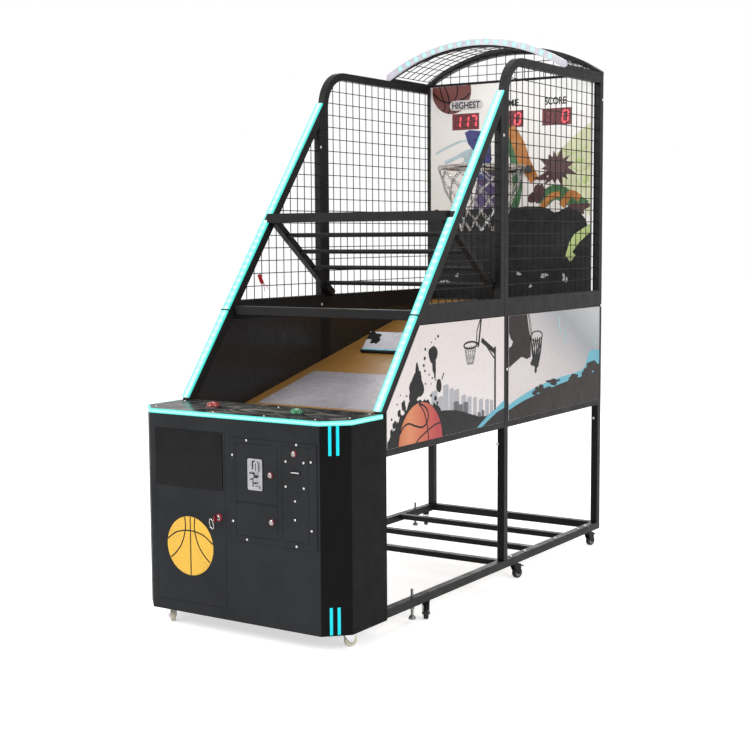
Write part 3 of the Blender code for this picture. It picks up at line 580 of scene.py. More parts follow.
area_light("key", (-2.6, -6.0, 4.6), (0, -0.4, 1.0), (3.2, 3.2), 330)
area_light("right_fill", (6.0, -1.0, 3.4), (0, 0.2, 1.3), (4.0, 3.0), 165)
area_light("top", (0.0, 0.0, 6.5), (0, 0, 0), (4.0, 4.0), 140)
area_light("rear_fill", (-2.5, 6.0, 3.5), (0, 0.5, 1.2), (3.5, 3.0), 120)


def seen_white(tree, lit_value, white):
    """A factor that is white to camera, glossy and transmission rays, and lit_value to the rest."""
    path = tree.nodes.new("ShaderNodeLightPath")
    best = path.outputs["Is Camera Ray"]
    for name in ("Is Glossy Ray", "Is Transmission Ray"):
        step = tree.nodes.new("ShaderNodeMath")
        step.operation = "MAXIMUM"
        tree.links.new(best, step.inputs[0])
        tree.links.new(path.outputs[name], step.inputs[1])
        best = step.outputs[0]
    step = tree.nodes.new("ShaderNodeMapRange")
    tree.links.new(best, step.inputs["Value"])
    step.inputs["To Min"].default_value = lit_value
    step.inputs["To Max"].default_value = white
    return step.outputs[0]


world = bpy.data.worlds.new("studio")
scene.world = world
world.use_nodes = True
back = world.node_tree.nodes["Background"]
world.node_tree.links.new(seen_white(world.node_tree, 0.55, 1.0), back.inputs["Strength"])
back.inputs["Color"].default_value = (1, 1, 1, 1)

floor_mesh = bpy.data.meshes.new("floor")
floor_bm = bmesh.new()
bmesh.ops.create_circle(floor_bm, cap_ends=True, segments=64, radius=40)
floor_bm.to_mesh(floor_mesh)
floor_bm.free()
floor = bpy.data.objects.new("floor", floor_mesh)
scene.collection.objects.link(floor)
floor.location.z = -0.0006
ground = Graph("floor", Roughness=1.0)
ground.set("Base Color", ground.ramp(ground.noise(0.5, 2.0), (0.3, (0.8, 0.8, 0.8)),
                                     (0.7, (0.84, 0.84, 0.84))))
ground.set("Specular IOR Level", 0.0)
ground.set("Emission Color", (1, 1, 1))
ground.links.new(seen_white(ground.made.node_tree, 0.0, 0.6), ground.shader.inputs["Emission Strength"])
floor_mesh.materials.append(ground.made)

# ---- side and roof meshes -----------------------------------------------------------------
MID_X = 0.476
BOARD_Y = 1.105


def opening_front():
    """The slanted cage opening, as (y, z)."""
    low, rear, inside = 1.281, 0.096, -0.042
    return [(post_line(low, inside, "y"), low), (rear, low), (rear, post_line(rear, inside, "z"))]


def opening_rear():
    """The upright cage opening with its round upper corner, as (y, z)."""
    front, rear, low, high, radius = 0.1665, 1.127, 1.281, 2.296, 0.14
    turn = [(front + radius - radius * math.cos(a), high - radius + radius * math.sin(a))
            for a in (math.pi / 2 * i / 10 for i in range(11))]
    return [(front, low)] + turn + [(rear, high), (rear, low)]


WIRE_R = 0.002
for side, sign in (("left", -1), ("right", 1)):
    for part, outline in (("front", opening_front()), ("rear", opening_rear())):
        mesh_piece = Piece()
        low_y, high_y = min(p[0] for p in outline), max(p[0] for p in outline)
        low_z, high_z = min(p[1] for p in outline), max(p[1] for p in outline)
        across = round((high_y - low_y) / 0.0565)
        for i in range(1, across):
            y = high_y - (high_y - low_y) * i / across
            ends = chord(outline, 0, y)
            if ends and ends[1] - ends[0] > 0.02:
                x = sign * (MID_X - WIRE_R)
                mesh_piece.tube([(x, y, ends[0] - 0.001), (x, y, ends[1] + 0.001)], WIRE_R, 8)
        upward = round((high_z - low_z) / 0.0555)
        for i in range(1, upward):
            z = low_z + (high_z - low_z) * i / upward
            ends = chord(outline, 1, z)
            if ends and ends[1] - ends[0] > 0.02:
                x = sign * (MID_X + WIRE_R * 0.8)
                mesh_piece.tube([(x, ends[0] - 0.001, z), (x, ends[1] + 0.001, z)], WIRE_R, 8)
        mesh_piece.done(f"{side}_{part}_wires", "frame", WIRE,
                        replaces=[f"{side}_{part}_mesh"])


def arch_radius(half, rise):
    return (half * half + rise * rise) / (2 * rise)


def arch(half, foot_z, peak_z, steps):
    """Points (x, z) along a flat arch."""
    rise = peak_z - foot_z
    radius = arch_radius(half, rise)
    edge = math.asin(half / radius)
    turns = [edge - 2 * edge * i / steps for i in range(steps + 1)]
    return [(radius * math.sin(a), peak_z - radius + radius * math.cos(a)) for a in turns]


roof = Piece()
VAULT = (0.459, 2.3555, 2.4855)
for i in range(8):
    y = 0.769 + i * (1.124 - 0.769) / 7
    roof.tube([(x, y, z - 0.0005) for x, z in arch(*VAULT, 36)], WIRE_R, 6)
for x, z in arch(*VAULT, 18):
    roof.tube([(x, 0.766, z + 0.0012), (x, 1.1265, z + 0.0012)], WIRE_R, 6)
back_line = arch(0.457, 2.353, 2.482, 48)
back_outline = [(0.457, 2.338)] + back_line + [(-0.457, 2.338)]
for i in range(1, 17):
    x = -0.457 + 0.914 * i / 17
    ends = chord(back_outline, 0, x)
    roof.tube([(x, 1.123, ends[0]), (x, 1.123, ends[1])], WIRE_R, 6)
for z in (2.378, 2.425):
    ends = chord(back_outline, 1, z)
    roof.tube([(ends[0], 1.1258, z), (ends[1], 1.1258, z)], WIRE_R, 6)
roof.done("roof_wires", "frame", WIRE, replaces=["roof_mesh"])

# ---- lit arch -----------------------------------------------------------------------------
def arch_dots(g):
    """Lamps behind the pale plate, spaced evenly round the arch."""
    radius, pitch = arch_radius(0.49, 0.139), 0.0505
    height = g.less(g.axis("Z"), 2.487 - radius)
    along = g.times(g.math("ARCTAN2", g.axis("X"), height), radius)
    du = g.times(g.less(g.math("FRACT", g.math("DIVIDE", along, pitch)), 0.5), pitch)
    arm = g.node("ShaderNodeCombineXYZ", [(0, g.axis("X")), (2, height)])
    dv = g.less(g.node("ShaderNodeVectorMath", [(0, arm)], out="Value", operation="LENGTH"), radius)
    away = g.math("SQRT", g.add(g.times(du, du), g.times(dv, dv)))
    dot = g.node("ShaderNodeMapRange", [("Value", away), ("From Min", 0.003), ("From Max", 0.0175),
                                        ("To Min", 1.0), ("To Max", 0.0)], interpolation_type="SMOOTHSTEP")
    return g.times(dot, g.math("LESS_THAN", g.size(along), 0.47))


def arch_plate():
    g = Graph("arch_plate")
    dot = arch_dots(g)
    cloud = g.noise(14.0, 5.0)
    plate = g.ramp(cloud, (0.3, (0.4, 0.38, 0.44)), (0.7, (0.5, 0.47, 0.54)))
    g.set("Base Color", g.mix(dot, plate, (0.02, 0.1, 0.09)))
    g.set("Emission Color", g.ramp(dot, (0.0, (0.02, 0.02, 0.02)), (0.3, (0.03, 0.52, 0.42)),
                                   (0.75, (0.14, 0.85, 0.7)), (1.0, (0.62, 1.0, 0.95))))
    g.set("Emission Strength", g.math("MINIMUM", g.times(dot, 1.6), 0.95))
    g.rough(24.0, 5.0, 0.22, 0.36)
    g.bump(cloud, 0.05, 0.0004)
    return g.made


paint(arch_plate(), "arch_light_plate")

# ---- hoop and chain net -------------------------------------------------------------------
def rim_finish():
    """Chromed ring; the arm and the upper flange are painted black."""
    g = Graph("rim_finish")
    black = g.times(g.math("GREATER_THAN", g.axis("Y"), 1.03), g.math("GREATER_THAN", g.axis("Z"), 1.862))
    smudge = g.noise(30.0, 6.0, roughness=0.7)
    metal = g.ramp(smudge, (0.35, (0.46, 0.42, 0.39)), (0.75, (0.2, 0.16, 0.14)))
    g.set("Base Color", g.mix(black, metal, BEHIND))
    g.set("Metallic", g.less(1.0, black))
    g.set("Roughness", g.add(g.vary(smudge, 0.16, 0.3), g.times(black, 0.22)))
    g.bump(g.noise(500.0, 2.0), 0.1, 0.0003)
    return g.made


paint(rim_finish(), "hoop_rim")
HOOP = Vector((0, 0.82, 1.89))
RINGS = ((0.206, -0.016), (0.198, -0.06), (0.178, -0.11), (0.156, -0.16), (0.136, -0.21), (0.12, -0.26),
         (0.112, -0.31))


def link(piece, centre, along, side, length=0.024, width=0.012, wire=0.0014):
    """One oval link of round wire, in the plane of along and side."""
    bend = width / 2 - wire
    reach = length / 2 - wire - bend
    line = []
    for way in (1, -1):
        for k in range(6):
            a = math.pi * (k / 5 - 0.5)
            line.append(centre + along * way * (reach + bend * math.cos(a))
                        + side * way * bend * math.sin(a))
    piece.tube(line, wire, 5, closed=True)


def knot(row, column):
    radius, drop = RINGS[row]
    a = TAU * (column + 0.5 * (row % 2)) / 12
    return HOOP + Vector((radius * math.cos(a), radius * math.sin(a), drop))


net = Piece()
for row in range(len(RINGS) - 1):
    for column in range(12):
        for way in (0, 1):
            start = knot(row, column)
            end = knot(row + 1, column - way if row % 2 == 0 else column + way)
            along = (end - start).normalized()
            count = max(2, round((end - start).length / 0.0185))
            outward = Vector((start.x + end.x, start.y + end.y - 2 * HOOP.y, 0)).normalized()
            flat = along.cross(outward).normalized()
            for i in range(count):
                twist = Matrix.Rotation(math.radians(45 + 90 * (i % 2)), 3, along)
                link(net, start.lerp(end, (i + 0.5) / count), along, twist @ flat)
for column in range(12):
    a = TAU * column / 12
    round_out = Vector((math.cos(a), math.sin(a), 0))
    eye = HOOP + round_out * 0.21 + Vector((0, 0, -0.0125))
    sideways = Vector((-round_out.y, round_out.x, 0))
    net.tube([eye + sideways * 0.0065 * math.cos(t) + Vector((0, 0, 0.0065 * math.sin(t)))
              for t in (TAU * k / 12 for k in range(12))], 0.0019, 6, closed=True)
net.done("chain_links", "frame", CHAIN, replaces=["chain_net"])

# ---- castors ------------------------------------------------------------------------------
for joint in frame["record"]["behaviour"]["joints"]:
    if not joint["name"].startswith("spin_"):
        continue
    where = joint["name"][5:]
    small = where.startswith("cabinet")
    paint(ZINC if small else FRAME, f"caster_fork_{where}")
    centre, axis = Vector(joint["pos_m"]), Vector(joint["axis"]).normalized()
    spots = [v.co - centre for v in NODES[f"caster_wheel_{where}"].data.vertices]
    half = max(abs(s.dot(axis)) for s in spots)
    radius = max((s - axis * s.dot(axis)).length for s in spots)
    place = facing(axis, centre)
    wheel = Piece()
    tyre = [(0.62, 0.9), (0.8, 1), (0.93, 0.94), (0.985, 0.66), (1, 0.22)]
    hub = [(0, 0.62), (0.2, 0.62), (0.22, 0.45), (0.5, 0.45), (0.56, 0.86), (0.64, 0.86)]
    for i, (profile, segments) in enumerate(((tyre, 40), (hub, 32))):
        wheel.mat = i
        wheel.lathe([(radius * r, -half * h) for r, h in profile]
                    + [(radius * r, half * h) for r, h in reversed(profile)], place, segments)
    for k in range(3):
        spoke = Matrix.Rotation(TAU * k / 3 + 0.3, 4, "Z")
        for way in (-1, 1):
            corners = [place @ spoke @ Vector((r * radius, s * radius * 0.09, way * h * half))
                       for h in (0.4, 0.74) for r in (0.18, 0.57) for s in (-1, 1)]
            wheel.block(corners)
    wheel.done(f"wheel_{where}_turned", f"wheel_{where}", [NYLON, NYLON] if small else [RUBBER, HUB],
               replaces=[f"caster_wheel_{where}"])

# ---- locks, key, screws and coin plate ----------------------------------------------------
def lock_and_key():
    """Steel lock head; the key's bow in front of it is dark red plastic."""
    g = Graph("lock_and_key")
    bow = g.math("LESS_THAN", g.axis("Y"), -1.1745)
    smudge = g.noise(60.0, 5.0)
    steel = g.ramp(smudge, (0.3, (0.26, 0.25, 0.25)), (0.7, (0.42, 0.41, 0.4)))
    g.set("Base Color", g.mix(bow, steel, (0.2, 0.008, 0.016)))
    g.set("Metallic", g.less(1.0, bow))
    g.set("Roughness", g.vary(smudge, 0.22, 0.36))
    g.bump(g.noise(700.0, 2.0), 0.1, 0.0003)
    return g.made


paint(lock_and_key(), "main_door_lock")
for door, x, z in (("coin", 0.192, 0.66), ("cash", 0.196, 0.48), ("ticket", 0.303, 0.75)):
    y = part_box(f"{door}_door_lock")[0][1]
    keyway = Piece()
    keyway.prism(circle(x, z, 0.0048, steps=24), "Y", y - 0.0004, y + 0.0006)
    # the keyhole is a dark block: painted shade
    keyway.mat = 1
    keyway.box((x - 0.0006, y - 0.0007, z - 0.0036), (x + 0.0006, y + 0.0002, z + 0.0036))
    keyway.done(f"{door}_door_keyway", f"{door}_door_lock", [LOCK_FACE, RECESS_SHADE])
    collar = Piece()
    collar.lathe([(0.0097, 0.0), (0.0116, 0.0), (0.012, 0.0012), (0.0112, 0.006), (0.0097, 0.0062)],
                 facing((0, -1, 0), (x, -1.1655, z)), 32)
    collar.done(f"{door}_lock_collar", f"{door}_door", KEY_RED)

rosette = Piece()
rosette.lathe([(0.0098, -0.0005), (0.015, -0.0005), (0.0155, 0.001), (0.014, 0.0032), (0.0098, 0.0038)],
              facing((0, -1, 0), (-0.064, -1.1622, 0.471)), 32)
rosette.done("main_lock_rosette", "main_door", KEY_RED)
key_loop = Piece()
key_turns = [(math.cos(TAU * k / 28), math.sin(TAU * k / 28)) for k in range(28)]
key_loop.tube([(-0.0815 + 0.0115 * c - 0.006 * s, -1.1885 - 0.004 * c, 0.449 + 0.0195 * s + 0.004 * c)
               for c, s in key_turns], 0.0013, 8, closed=True)
key_loop.tube([(-0.064, -1.187, 0.471), (-0.069, -1.1885, 0.467), (-0.0745, -1.189, 0.4625)], 0.0016, 8)
key_loop.done("key_loop", "main_door_lock", STEEL)


def screw(piece, at, direction=(0, -1, 0), radius=0.0044, height=0.002):
    """A domed cross-head screw."""
    place = facing(direction, at)
    piece.mat = 0
    piece.lathe([(0, height), (radius * 0.45, height * 0.93), (radius * 0.8, height * 0.62),
                 (radius, height * 0.15), (radius, -0.0006), (0, -0.0006)], place, 20)
    # the cross recess is a dark block: painted shade
    piece.mat = 1
    for turn in (0.4, 0.4 + math.pi / 2):
        corners = [place @ Matrix.Rotation(turn, 4, "Z") @ Vector((r * radius, s * radius * 0.11, h))
                   for h in (height * 0.7, height + 0.0001) for r in (-0.5, 0.5) for s in (-1, 1)]
        piece.block(corners)


# near-white paint on the steel screw heads, nuts and slot trim: a painted highlight for the glint of bright
# steel
GLINT_WHITE = coated("painted_glint_white", (0.86, 0.85, 0.83), 0.3, spread=0.08)
FACE_Y = -1.165    # front of the coin plate
plate_screws = Piece()
for x, z in mm(77, 784, 312, 784, 7, 723, 378, 724, 7, 466, 379, 466, 74, 400, 309, 400):
    screw(plate_screws, (x, FACE_Y, z))
plate_screws.done("coin_plate_screws", "frame", [GLINT_WHITE, RECESS_SHADE])
door_screws = Piece()
for x, z in mm(262, 718, 345, 719, 261, 623, 345, 623, 304, 571, 303, 500):
    screw(door_screws, (x, FACE_Y, z))
door_screws.done("ticket_door_screws", "ticket_door", [GLINT_WHITE, RECESS_SHADE])
# the slot lip's bright metal is shown by the same painted highlight white
slot_trim = Piece()
slot_trim.box((0.285, -1.1656, 0.6762), (0.3268, -1.1646, 0.68))
slot_trim.done("ticket_slot_trim", "ticket_door", GLINT_WHITE)

low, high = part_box("coin_mech")
mech = Piece()
cx, cz, fy = (low[0] + high[0]) / 2, (low[2] + high[2]) / 2, low[1]
# dark blocks for the coin slot and notches: painted shade in the openings
for dx, dz, w, h in ((-0.006, 0.037, 0.0022, 0.016), (-0.012, 0.006, 0.009, 0.0022),
                     (0.008, -0.006, 0.005, 0.005), (-0.014, -0.018, 0.004, 0.0016),
                     (0.002, -0.032, 0.007, 0.0024)):
    mech.box((cx + dx - w, fy - 0.0008, cz + dz - h), (cx + dx + w, fy + 0.0062, cz + dz + h))
mech.done("coin_mech_slots", "coin_door", RECESS_SHADE)

frame_screws = Piece()
for x, y, z, towards in ((-0.461, 0.104, 1.971, (1, 0, 0)), (-0.461, 0.1, 1.236, (1, 0, 0)),
                         (0.4725, 1.127, 0.64, (0, -1, 0)), (0.48, 0.096, 0.64, (0, -1, 0)),
                         (0.5, 0.1135, 1.985, (1, 0, 0)), (0.5, 1.1445, 2.215, (1, 0, 0)),
                         (0.5, 1.1445, 1.206, (1, 0, 0)), (0.5, 0.1485, 0.968, (1, 0, 0)),
                         (-0.5, 0.1135, 1.985, (-1, 0, 0)), (-0.5, 1.1445, 2.215, (-1, 0, 0))):
    screw(frame_screws, (x, y, z), towards, 0.0062, 0.003)
frame_screws.mat = 0
for side in (-1, 1):
    for y in (0.22, 0.358, 0.673, 0.932, 1.014):
        frame_screws.lathe([(0, 0.006), (0.0058, 0.006), (0.0066, 0.0045), (0.0066, -0.0008), (0, -0.0008)],
                           facing((0, 0, 1), (side * 0.4825, y, 0.11)), 6)
frame_screws.done("frame_screws", "frame", [GLINT_WHITE, RECESS_SHADE])

# ---- emblem, corner bars and small marks ---------------------------------------------------
def pebbled(name, light, dark, relief=0.5):
    """Basketball leather: a field of small pebbles, colour drifting across it."""
    g = Graph(name)
    cells = g.node("ShaderNodeTexVoronoi", [("Vector", g.coords()), ("Scale", 190.0)], out="Distance")
    drift = g.noise(9.0, 4.0)
    g.set("Base Color", g.ramp(g.add(g.times(drift, 0.6), g.times(cells, 0.5)), (0.3, dark), (0.55, light)))
    g.set("Roughness", g.vary(drift, 0.4, 0.55))
    g.bump(g.range(cells, 0.0, 0.6, 1.0, 0.0), relief, 0.0006)
    return g.made


def seams(cu, cv, r, width):
    """Basketball seams: an upright line, a level arc and two side curves."""
    def curve(*spots):
        return strip(smooth([(cu + u * r, cv + v * r) for u, v in spots]), width)

    made = strip([(cu + 0.02 * r, cv + r * 0.985 - 1.97 * r * k / 24) for k in range(25)], width)
    made += curve((-0.985, 0.16), (-0.55, 0.43), (0, 0.52), (0.55, 0.43), (0.985, 0.16))
    for way in (-1, 1):
        made += curve((way * 0.22, 0.965), (way * 0.2, 0.55), (way * 0.36, 0.06), (way * 0.62, -0.28),
                      (way * 0.86, -0.48))
    return made


def decal(name, body, place, low, high, outlines, material, window=None):
    """Patches of ink on a surface, from just under it to just over it."""
    made = Piece()
    rise = math.copysign(0.00001, high - low)
    for i, outline in enumerate(outlines):
        outline = clip(list(outline), window) if window else outline
        if len(outline) > 2:
            made.prism(outline, place, low + rise * (i % 24), high + rise * (i % 24))
    made.done(name, body, material)


DOOR_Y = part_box("main_door")[0][1]
EMBLEM = (-0.214, 0.342, 0.1175)    # x, z and radius
GOLD = pebbled("emblem_gold", (0.74, 0.43, 0.04), (0.46, 0.24, 0.018), 0.4)
decal("door_ball", "main_door", "Y", DOOR_Y + 0.0004, DOOR_Y - 0.0004, [circle(*EMBLEM, steps=72)], GOLD)
decal("door_ball_seams", "main_door", "Y", DOOR_Y, DOOR_Y - 0.0007, seams(*EMBLEM, 0.0052), INK)


def on_chamfer(s, z, w):
    """s along the right chamfered corner, w out of it."""
    root = math.sqrt(0.5)
    return (0.414 + (s + w) * root, -1.162 + (s - w) * root, z)


BAR_WIDTH = 0.0115
bars = [[(s, a), (s + BAR_WIDTH, a), (s + BAR_WIDTH, b), (s, b)]
        for s in (0.0345, 0.064) for a, b in ((0.749, 0.8598), (0.074, 0.178))]
decal("right_corner_bars", "frame", on_chamfer, -0.0004, 0.0004, bars,
      printed("cyan_vinyl", (0.0, 0.74, 0.86), 0.06, 0.35))

for where, side in (("left", -1), ("right", 1)):
    clamp = Piece()
    for z, half, outer in ((1.637, 0.016, 0.486), (1.238, 0.003, 0.4985)):
        t = (z - POST_FOOT.y) / POST_DIR.y
        corners = []
        for x in (0.46, outer):
            for along in (t - half, t + half):
                for out in (-0.002, 0.0095):
                    p = POST_FOOT + POST_DIR * along + POST_OUT * out
                    corners.append((side * x, p.x, p.y))
        clamp.block(corners)
    clamp.done(f"{where}_light_clamps", "frame", FRAME, bevel=0.0008)

tag = Piece()
for line in ([(-0.4735, -0.356, 1.362), (-0.47, -0.346, 1.352), (-0.469, -0.334, 1.333),
              (-0.47, -0.328, 1.312)],
             [(-0.4735, -0.352, 1.362), (-0.469, -0.338, 1.348), (-0.468, -0.318, 1.335),
              (-0.469, -0.306, 1.322)]):
    tag.tube(smooth(line), 0.0013, 8)
tag.tube([(-0.4735, -0.364, 1.388), (-0.47, -0.357, 1.366), (-0.469, -0.348, 1.35)], 0.0085, 10)
tag.done("cable_tie", "frame", coated("tag_plastic", (0.42, 0.006, 0.012), 0.4, shine=0.25))

# ---- side panels --------------------------------------------------------------------------
PANEL_FACE = 0.4972    # beyond this distance from the middle a side panel shows its print
PRINT_X = 0.499        # where the inks of the side panels begin


def side_ground(name, front):
    """Pale printed sheet on the outer face; the board behind it is black."""
    g = Graph(name, Specular_IOR_Level=0.35)
    outer = g.math("GREATER_THAN", g.size(g.axis("X")), PANEL_FACE)
    cloud = g.noise(4.0, 5.0)
    if front:
        tone = g.ramp(g.add(g.times(cloud, 0.3), g.range(g.axis("Z"), 0.75, 1.2, 0.0, 0.7)),
                      (0.15, (0.74, 0.68, 0.67)), (0.85, (0.66, 0.595, 0.58)))
    else:
        far = g.add(g.range(g.axis("Y"), 0.16, 1.12, 0.0, 0.75),
                    g.range(g.axis("Z"), 0.9, 1.2, -0.15, 0.25))
        tone = g.ramp(g.add(far, g.times(cloud, 0.12)), (0.1, (0.62, 0.56, 0.56)),
                      (0.4, (0.52, 0.48, 0.48)), (0.72, (0.3, 0.31, 0.33)), (0.98, (0.46, 0.47, 0.48)))
    g.set("Base Color", g.mix(outer, (0.011, 0.011, 0.012), tone))
    g.rough(24.0, 4.0, 0.24, 0.38)
    g.bump(g.noise(130.0, 2.0), 0.05, 0.0004)
    return g.made


def shaded_ball():
    """Orange ball print, redder towards its right."""
    g = Graph("side_ball_print", Specular_IOR_Level=0.35)
    across = g.range(g.axis("Y"), -0.752, -0.42, 0.0, 1.0)
    pebble = g.node("ShaderNodeTexVoronoi", [("Vector", g.coords()), ("Scale", 210.0)], out="Distance")
    g.set("Base Color", g.ramp(g.add(across, g.times(pebble, 0.12)), (0.05, (0.46, 0.12, 0.045)),
                               (0.3, (0.62, 0.22, 0.095)), (0.6, (0.52, 0.11, 0.055)),
                               (0.95, (0.4, 0.025, 0.03))))
    g.set("Roughness", g.range(pebble, 0.0, 0.6, 0.26, 0.36))
    g.bump(pebble, 0.06, 0.0003)
    return g.made


BLUE_BAND = printed("print_light_blue", (0.105, 0.39, 0.49), 0.08)
GREY = printed("print_grey", (0.37, 0.37, 0.4), 0.08)
GREY_DARK = printed("print_grey_dark", (0.1, 0.1, 0.11), 0.1)
PALE = printed("print_pale", (0.55, 0.52, 0.52), 0.06)

low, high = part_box("right_front_art_panel")
PANEL_LOW, PANEL_TOP, EDGE = low[2], high[2], 0.0005
FRONT_Y, FRONT_REAR_Y, REAR_Y, REAR_END_Y = -0.8325, 0.1195, 0.1645, 1.1285
FRONT_SKIN = [(FRONT_Y, PANEL_LOW + EDGE), (FRONT_REAR_Y, PANEL_LOW + EDGE),
              (FRONT_REAR_Y, PANEL_TOP - EDGE), (post_line(PANEL_TOP, -0.0285, "y"), PANEL_TOP - EDGE),
              (FRONT_Y, post_line(FRONT_Y, -0.0285, "z"))]
REAR_SKIN = [(REAR_Y, PANEL_LOW + EDGE), (REAR_END_Y, PANEL_LOW + EDGE), (REAR_END_Y, PANEL_TOP - EDGE),
             (REAR_Y, PANEL_TOP - EDGE)]


def net_lines(cu, cv, half, drop, bottom, width):
    """A drawn basketball net under a rim: crossing lines that narrow downwards."""
    made = []
    for i in range(6):
        a = -1 + 2 * i / 5
        for turn in (-0.55, 0.55):
            b = max(-1, min(1, a + turn))
            middle = (cu + half * 0.5 * (a + b) * 0.82, cv - drop * 0.5)
            made += strip([(cu + half * a, cv), middle, (cu + bottom * b, cv - drop)], width)
    return made


def on_ball(width, *spots):
    """A seam across the printed ball, in ball radii from its centre."""
    return strip(smooth([(-0.585 + u * 0.167, 0.728 + v * 0.167) for u, v in spots]), width)


def drip(y, top, bottom, wide):
    """A run of paint that widens downwards, in millimetres."""
    line = smooth(mm(y - 4, top, y + 3, top * 0.6 + bottom * 0.4, y, bottom))
    return strip(line, lambda t: wide / 1000 * (0.25 + 0.9 * t * (1.25 - t)))


low_edge = mm(-832.5, 766, -800, 790, -717, 860, -649, 905, -560, 893, -470, 868, -424, 842, -324, 838,
              -210, 812, -116, 786, -45, 778, 20, 790, 119.5, 800)
splashes = blots((-614, 962, 46, 58, 3, 0.22), (-606, 1000, 22, 46, 9, 0.3), (-640, 912, 34, 40, 19, 0.35),
                 (-488, 1080, 32, 36, 4, 0.15), (-480, 1036, 15, 34, 5, 0.2), (-474, 1004, 7, 24, 6, 0.2),
                 (-442, 949, 20, 28, 11, 0.08), (-712, 893, 14, 22, 12, 0.3), (-745, 868, 10, 16, 13, 0.3),
                 (-780, 826, 12, 16, 14, 0.3), (-803, 800, 8, 12, 15, 0.3))
splashes += strip(mm(-420, 972, -402, 998), 0.005)
for y, z, r in ((-548, 1104, 6), (-553, 1068, 7), (-560, 1040, 6), (-552, 1018, 5), (-448, 1150, 6),
                (-470, 1140, 3), (-500, 1128, 3), (-520, 1000, 4), (-505, 962, 3), (-495, 985, 4),
                (-468, 974, 3), (-548, 966, 4), (-572, 940, 3), (-470, 900, 10), (-505, 915, 6),
                (-760, 905, 4), (-735, 938, 3), (-690, 930, 4), (-455, 880, 7), (-800, 850, 5)):
    splashes.append(circle(y / 1000, z / 1000, r / 1000, steps=14))

# each print: its name, its level above the sheet, its ink and its outlines
front_prints = (
    ("towers", 1, GREY,
     [mm(y - half, 770, y + half, 770, y + half, top, y + half * 0.3, top + 6, y - half, top)
      for y, top, half in ((-478, 927, 24), (-430, 900, 20), (-386, 944, 22), (-340, 925, 18),
                           (-298, 917, 22), (-238, 888, 20), (-190, 876, 18), (-142, 869, 16),
                           (-90, 856, 18), (-35, 850, 16), (5, 842, 14))]),
    ("dark_towers", 2, GREY_DARK,
     [mm(y - half, 760, y + half, 760, y + half, top - 5, y - half * 0.2, top, y - half, top - 3)
      for y, top, half in ((-300, 872, 22), (-262, 856, 16), (-222, 862, 20), (-105, 806, 14),
                           (-72, 812, 12))]),
    ("torn_ground", 3, INK, [[(FRONT_Y, PANEL_LOW)] + ragged(low_edge[:7], 0.016, 0.022, 7)
                             + ragged(low_edge[6:], 0.03, 0.003, 8) + [(FRONT_REAR_Y, PANEL_LOW)]]),
    ("splashes", 4, INK, splashes),
    ("drawn_net", 1, GREY_DARK, net_lines(-0.182, 1.092, 0.048, 0.078, 0.024, 0.0035)),
    ("drawn_hoop", 5, INK, strip(mm(36, 800, 36, 1075), 0.013) + strip(mm(40, 1050, -85, 1112), 0.02)
     + strip(mm(28, 1026, -60, 1098), 0.006) + strip(mm(-88, 1204, -112, 1088), 0.01)
     + strip(mm(-88, 1204, -100, 1196, -126, 1150, -130, 1090, -112, 1084), 0.005)
     + strip(circle(-0.182, 1.096, 0.055, 0.014, 28), 0.007, True)
     + strip(mm(-130, 1098, -106, 1100), 0.012)),
    ("blue_band", 6, BLUE_BAND, [mm(-128, 739, -80, 739, -20, 762, 50, 787, 119.5, 800, 119.5, 832, 50, 806,
                                    -30, 782)]),
    ("ball", 7, shaded_ball(), [circle(-0.585, 0.728, 0.167, steps=72)]),
    ("ball_seams", 8, INK,
     on_ball(0.0075, (-0.93, 0.36), (-0.78, 0.5), (-0.55, 0.55), (-0.25, 0.46), (0.05, 0.4), (0.25, 0.47),
             (0.34, 0.62), (0.28, 0.8), (0.1, 0.92), (-0.08, 0.985))
     + on_ball(0.0065, (-0.1, 0.98), (0.12, 0.78), (0.26, 0.5), (0.33, 0.2), (0.36, -0.02))
     + on_ball(0.0065, (-0.42, -0.1), (-0.12, 0.12), (0.22, 0.26), (0.6, 0.38), (0.9, 0.42))),
)
BROWN_INK = printed("ink_brown_black", (0.0165, 0.011, 0.0095), 0.4, scale=5.0, shine=0.12)
band_top = smooth(mm(168, 808, 300, 838, 464, 866, 660, 884, 877, 895, 960, 914, 1020, 985, 1128.5, 985))
ground_top = smooth(mm(168, 784, 300, 810, 465, 830, 660, 852, 877, 866, 1000, 874, 1128.5, 884))
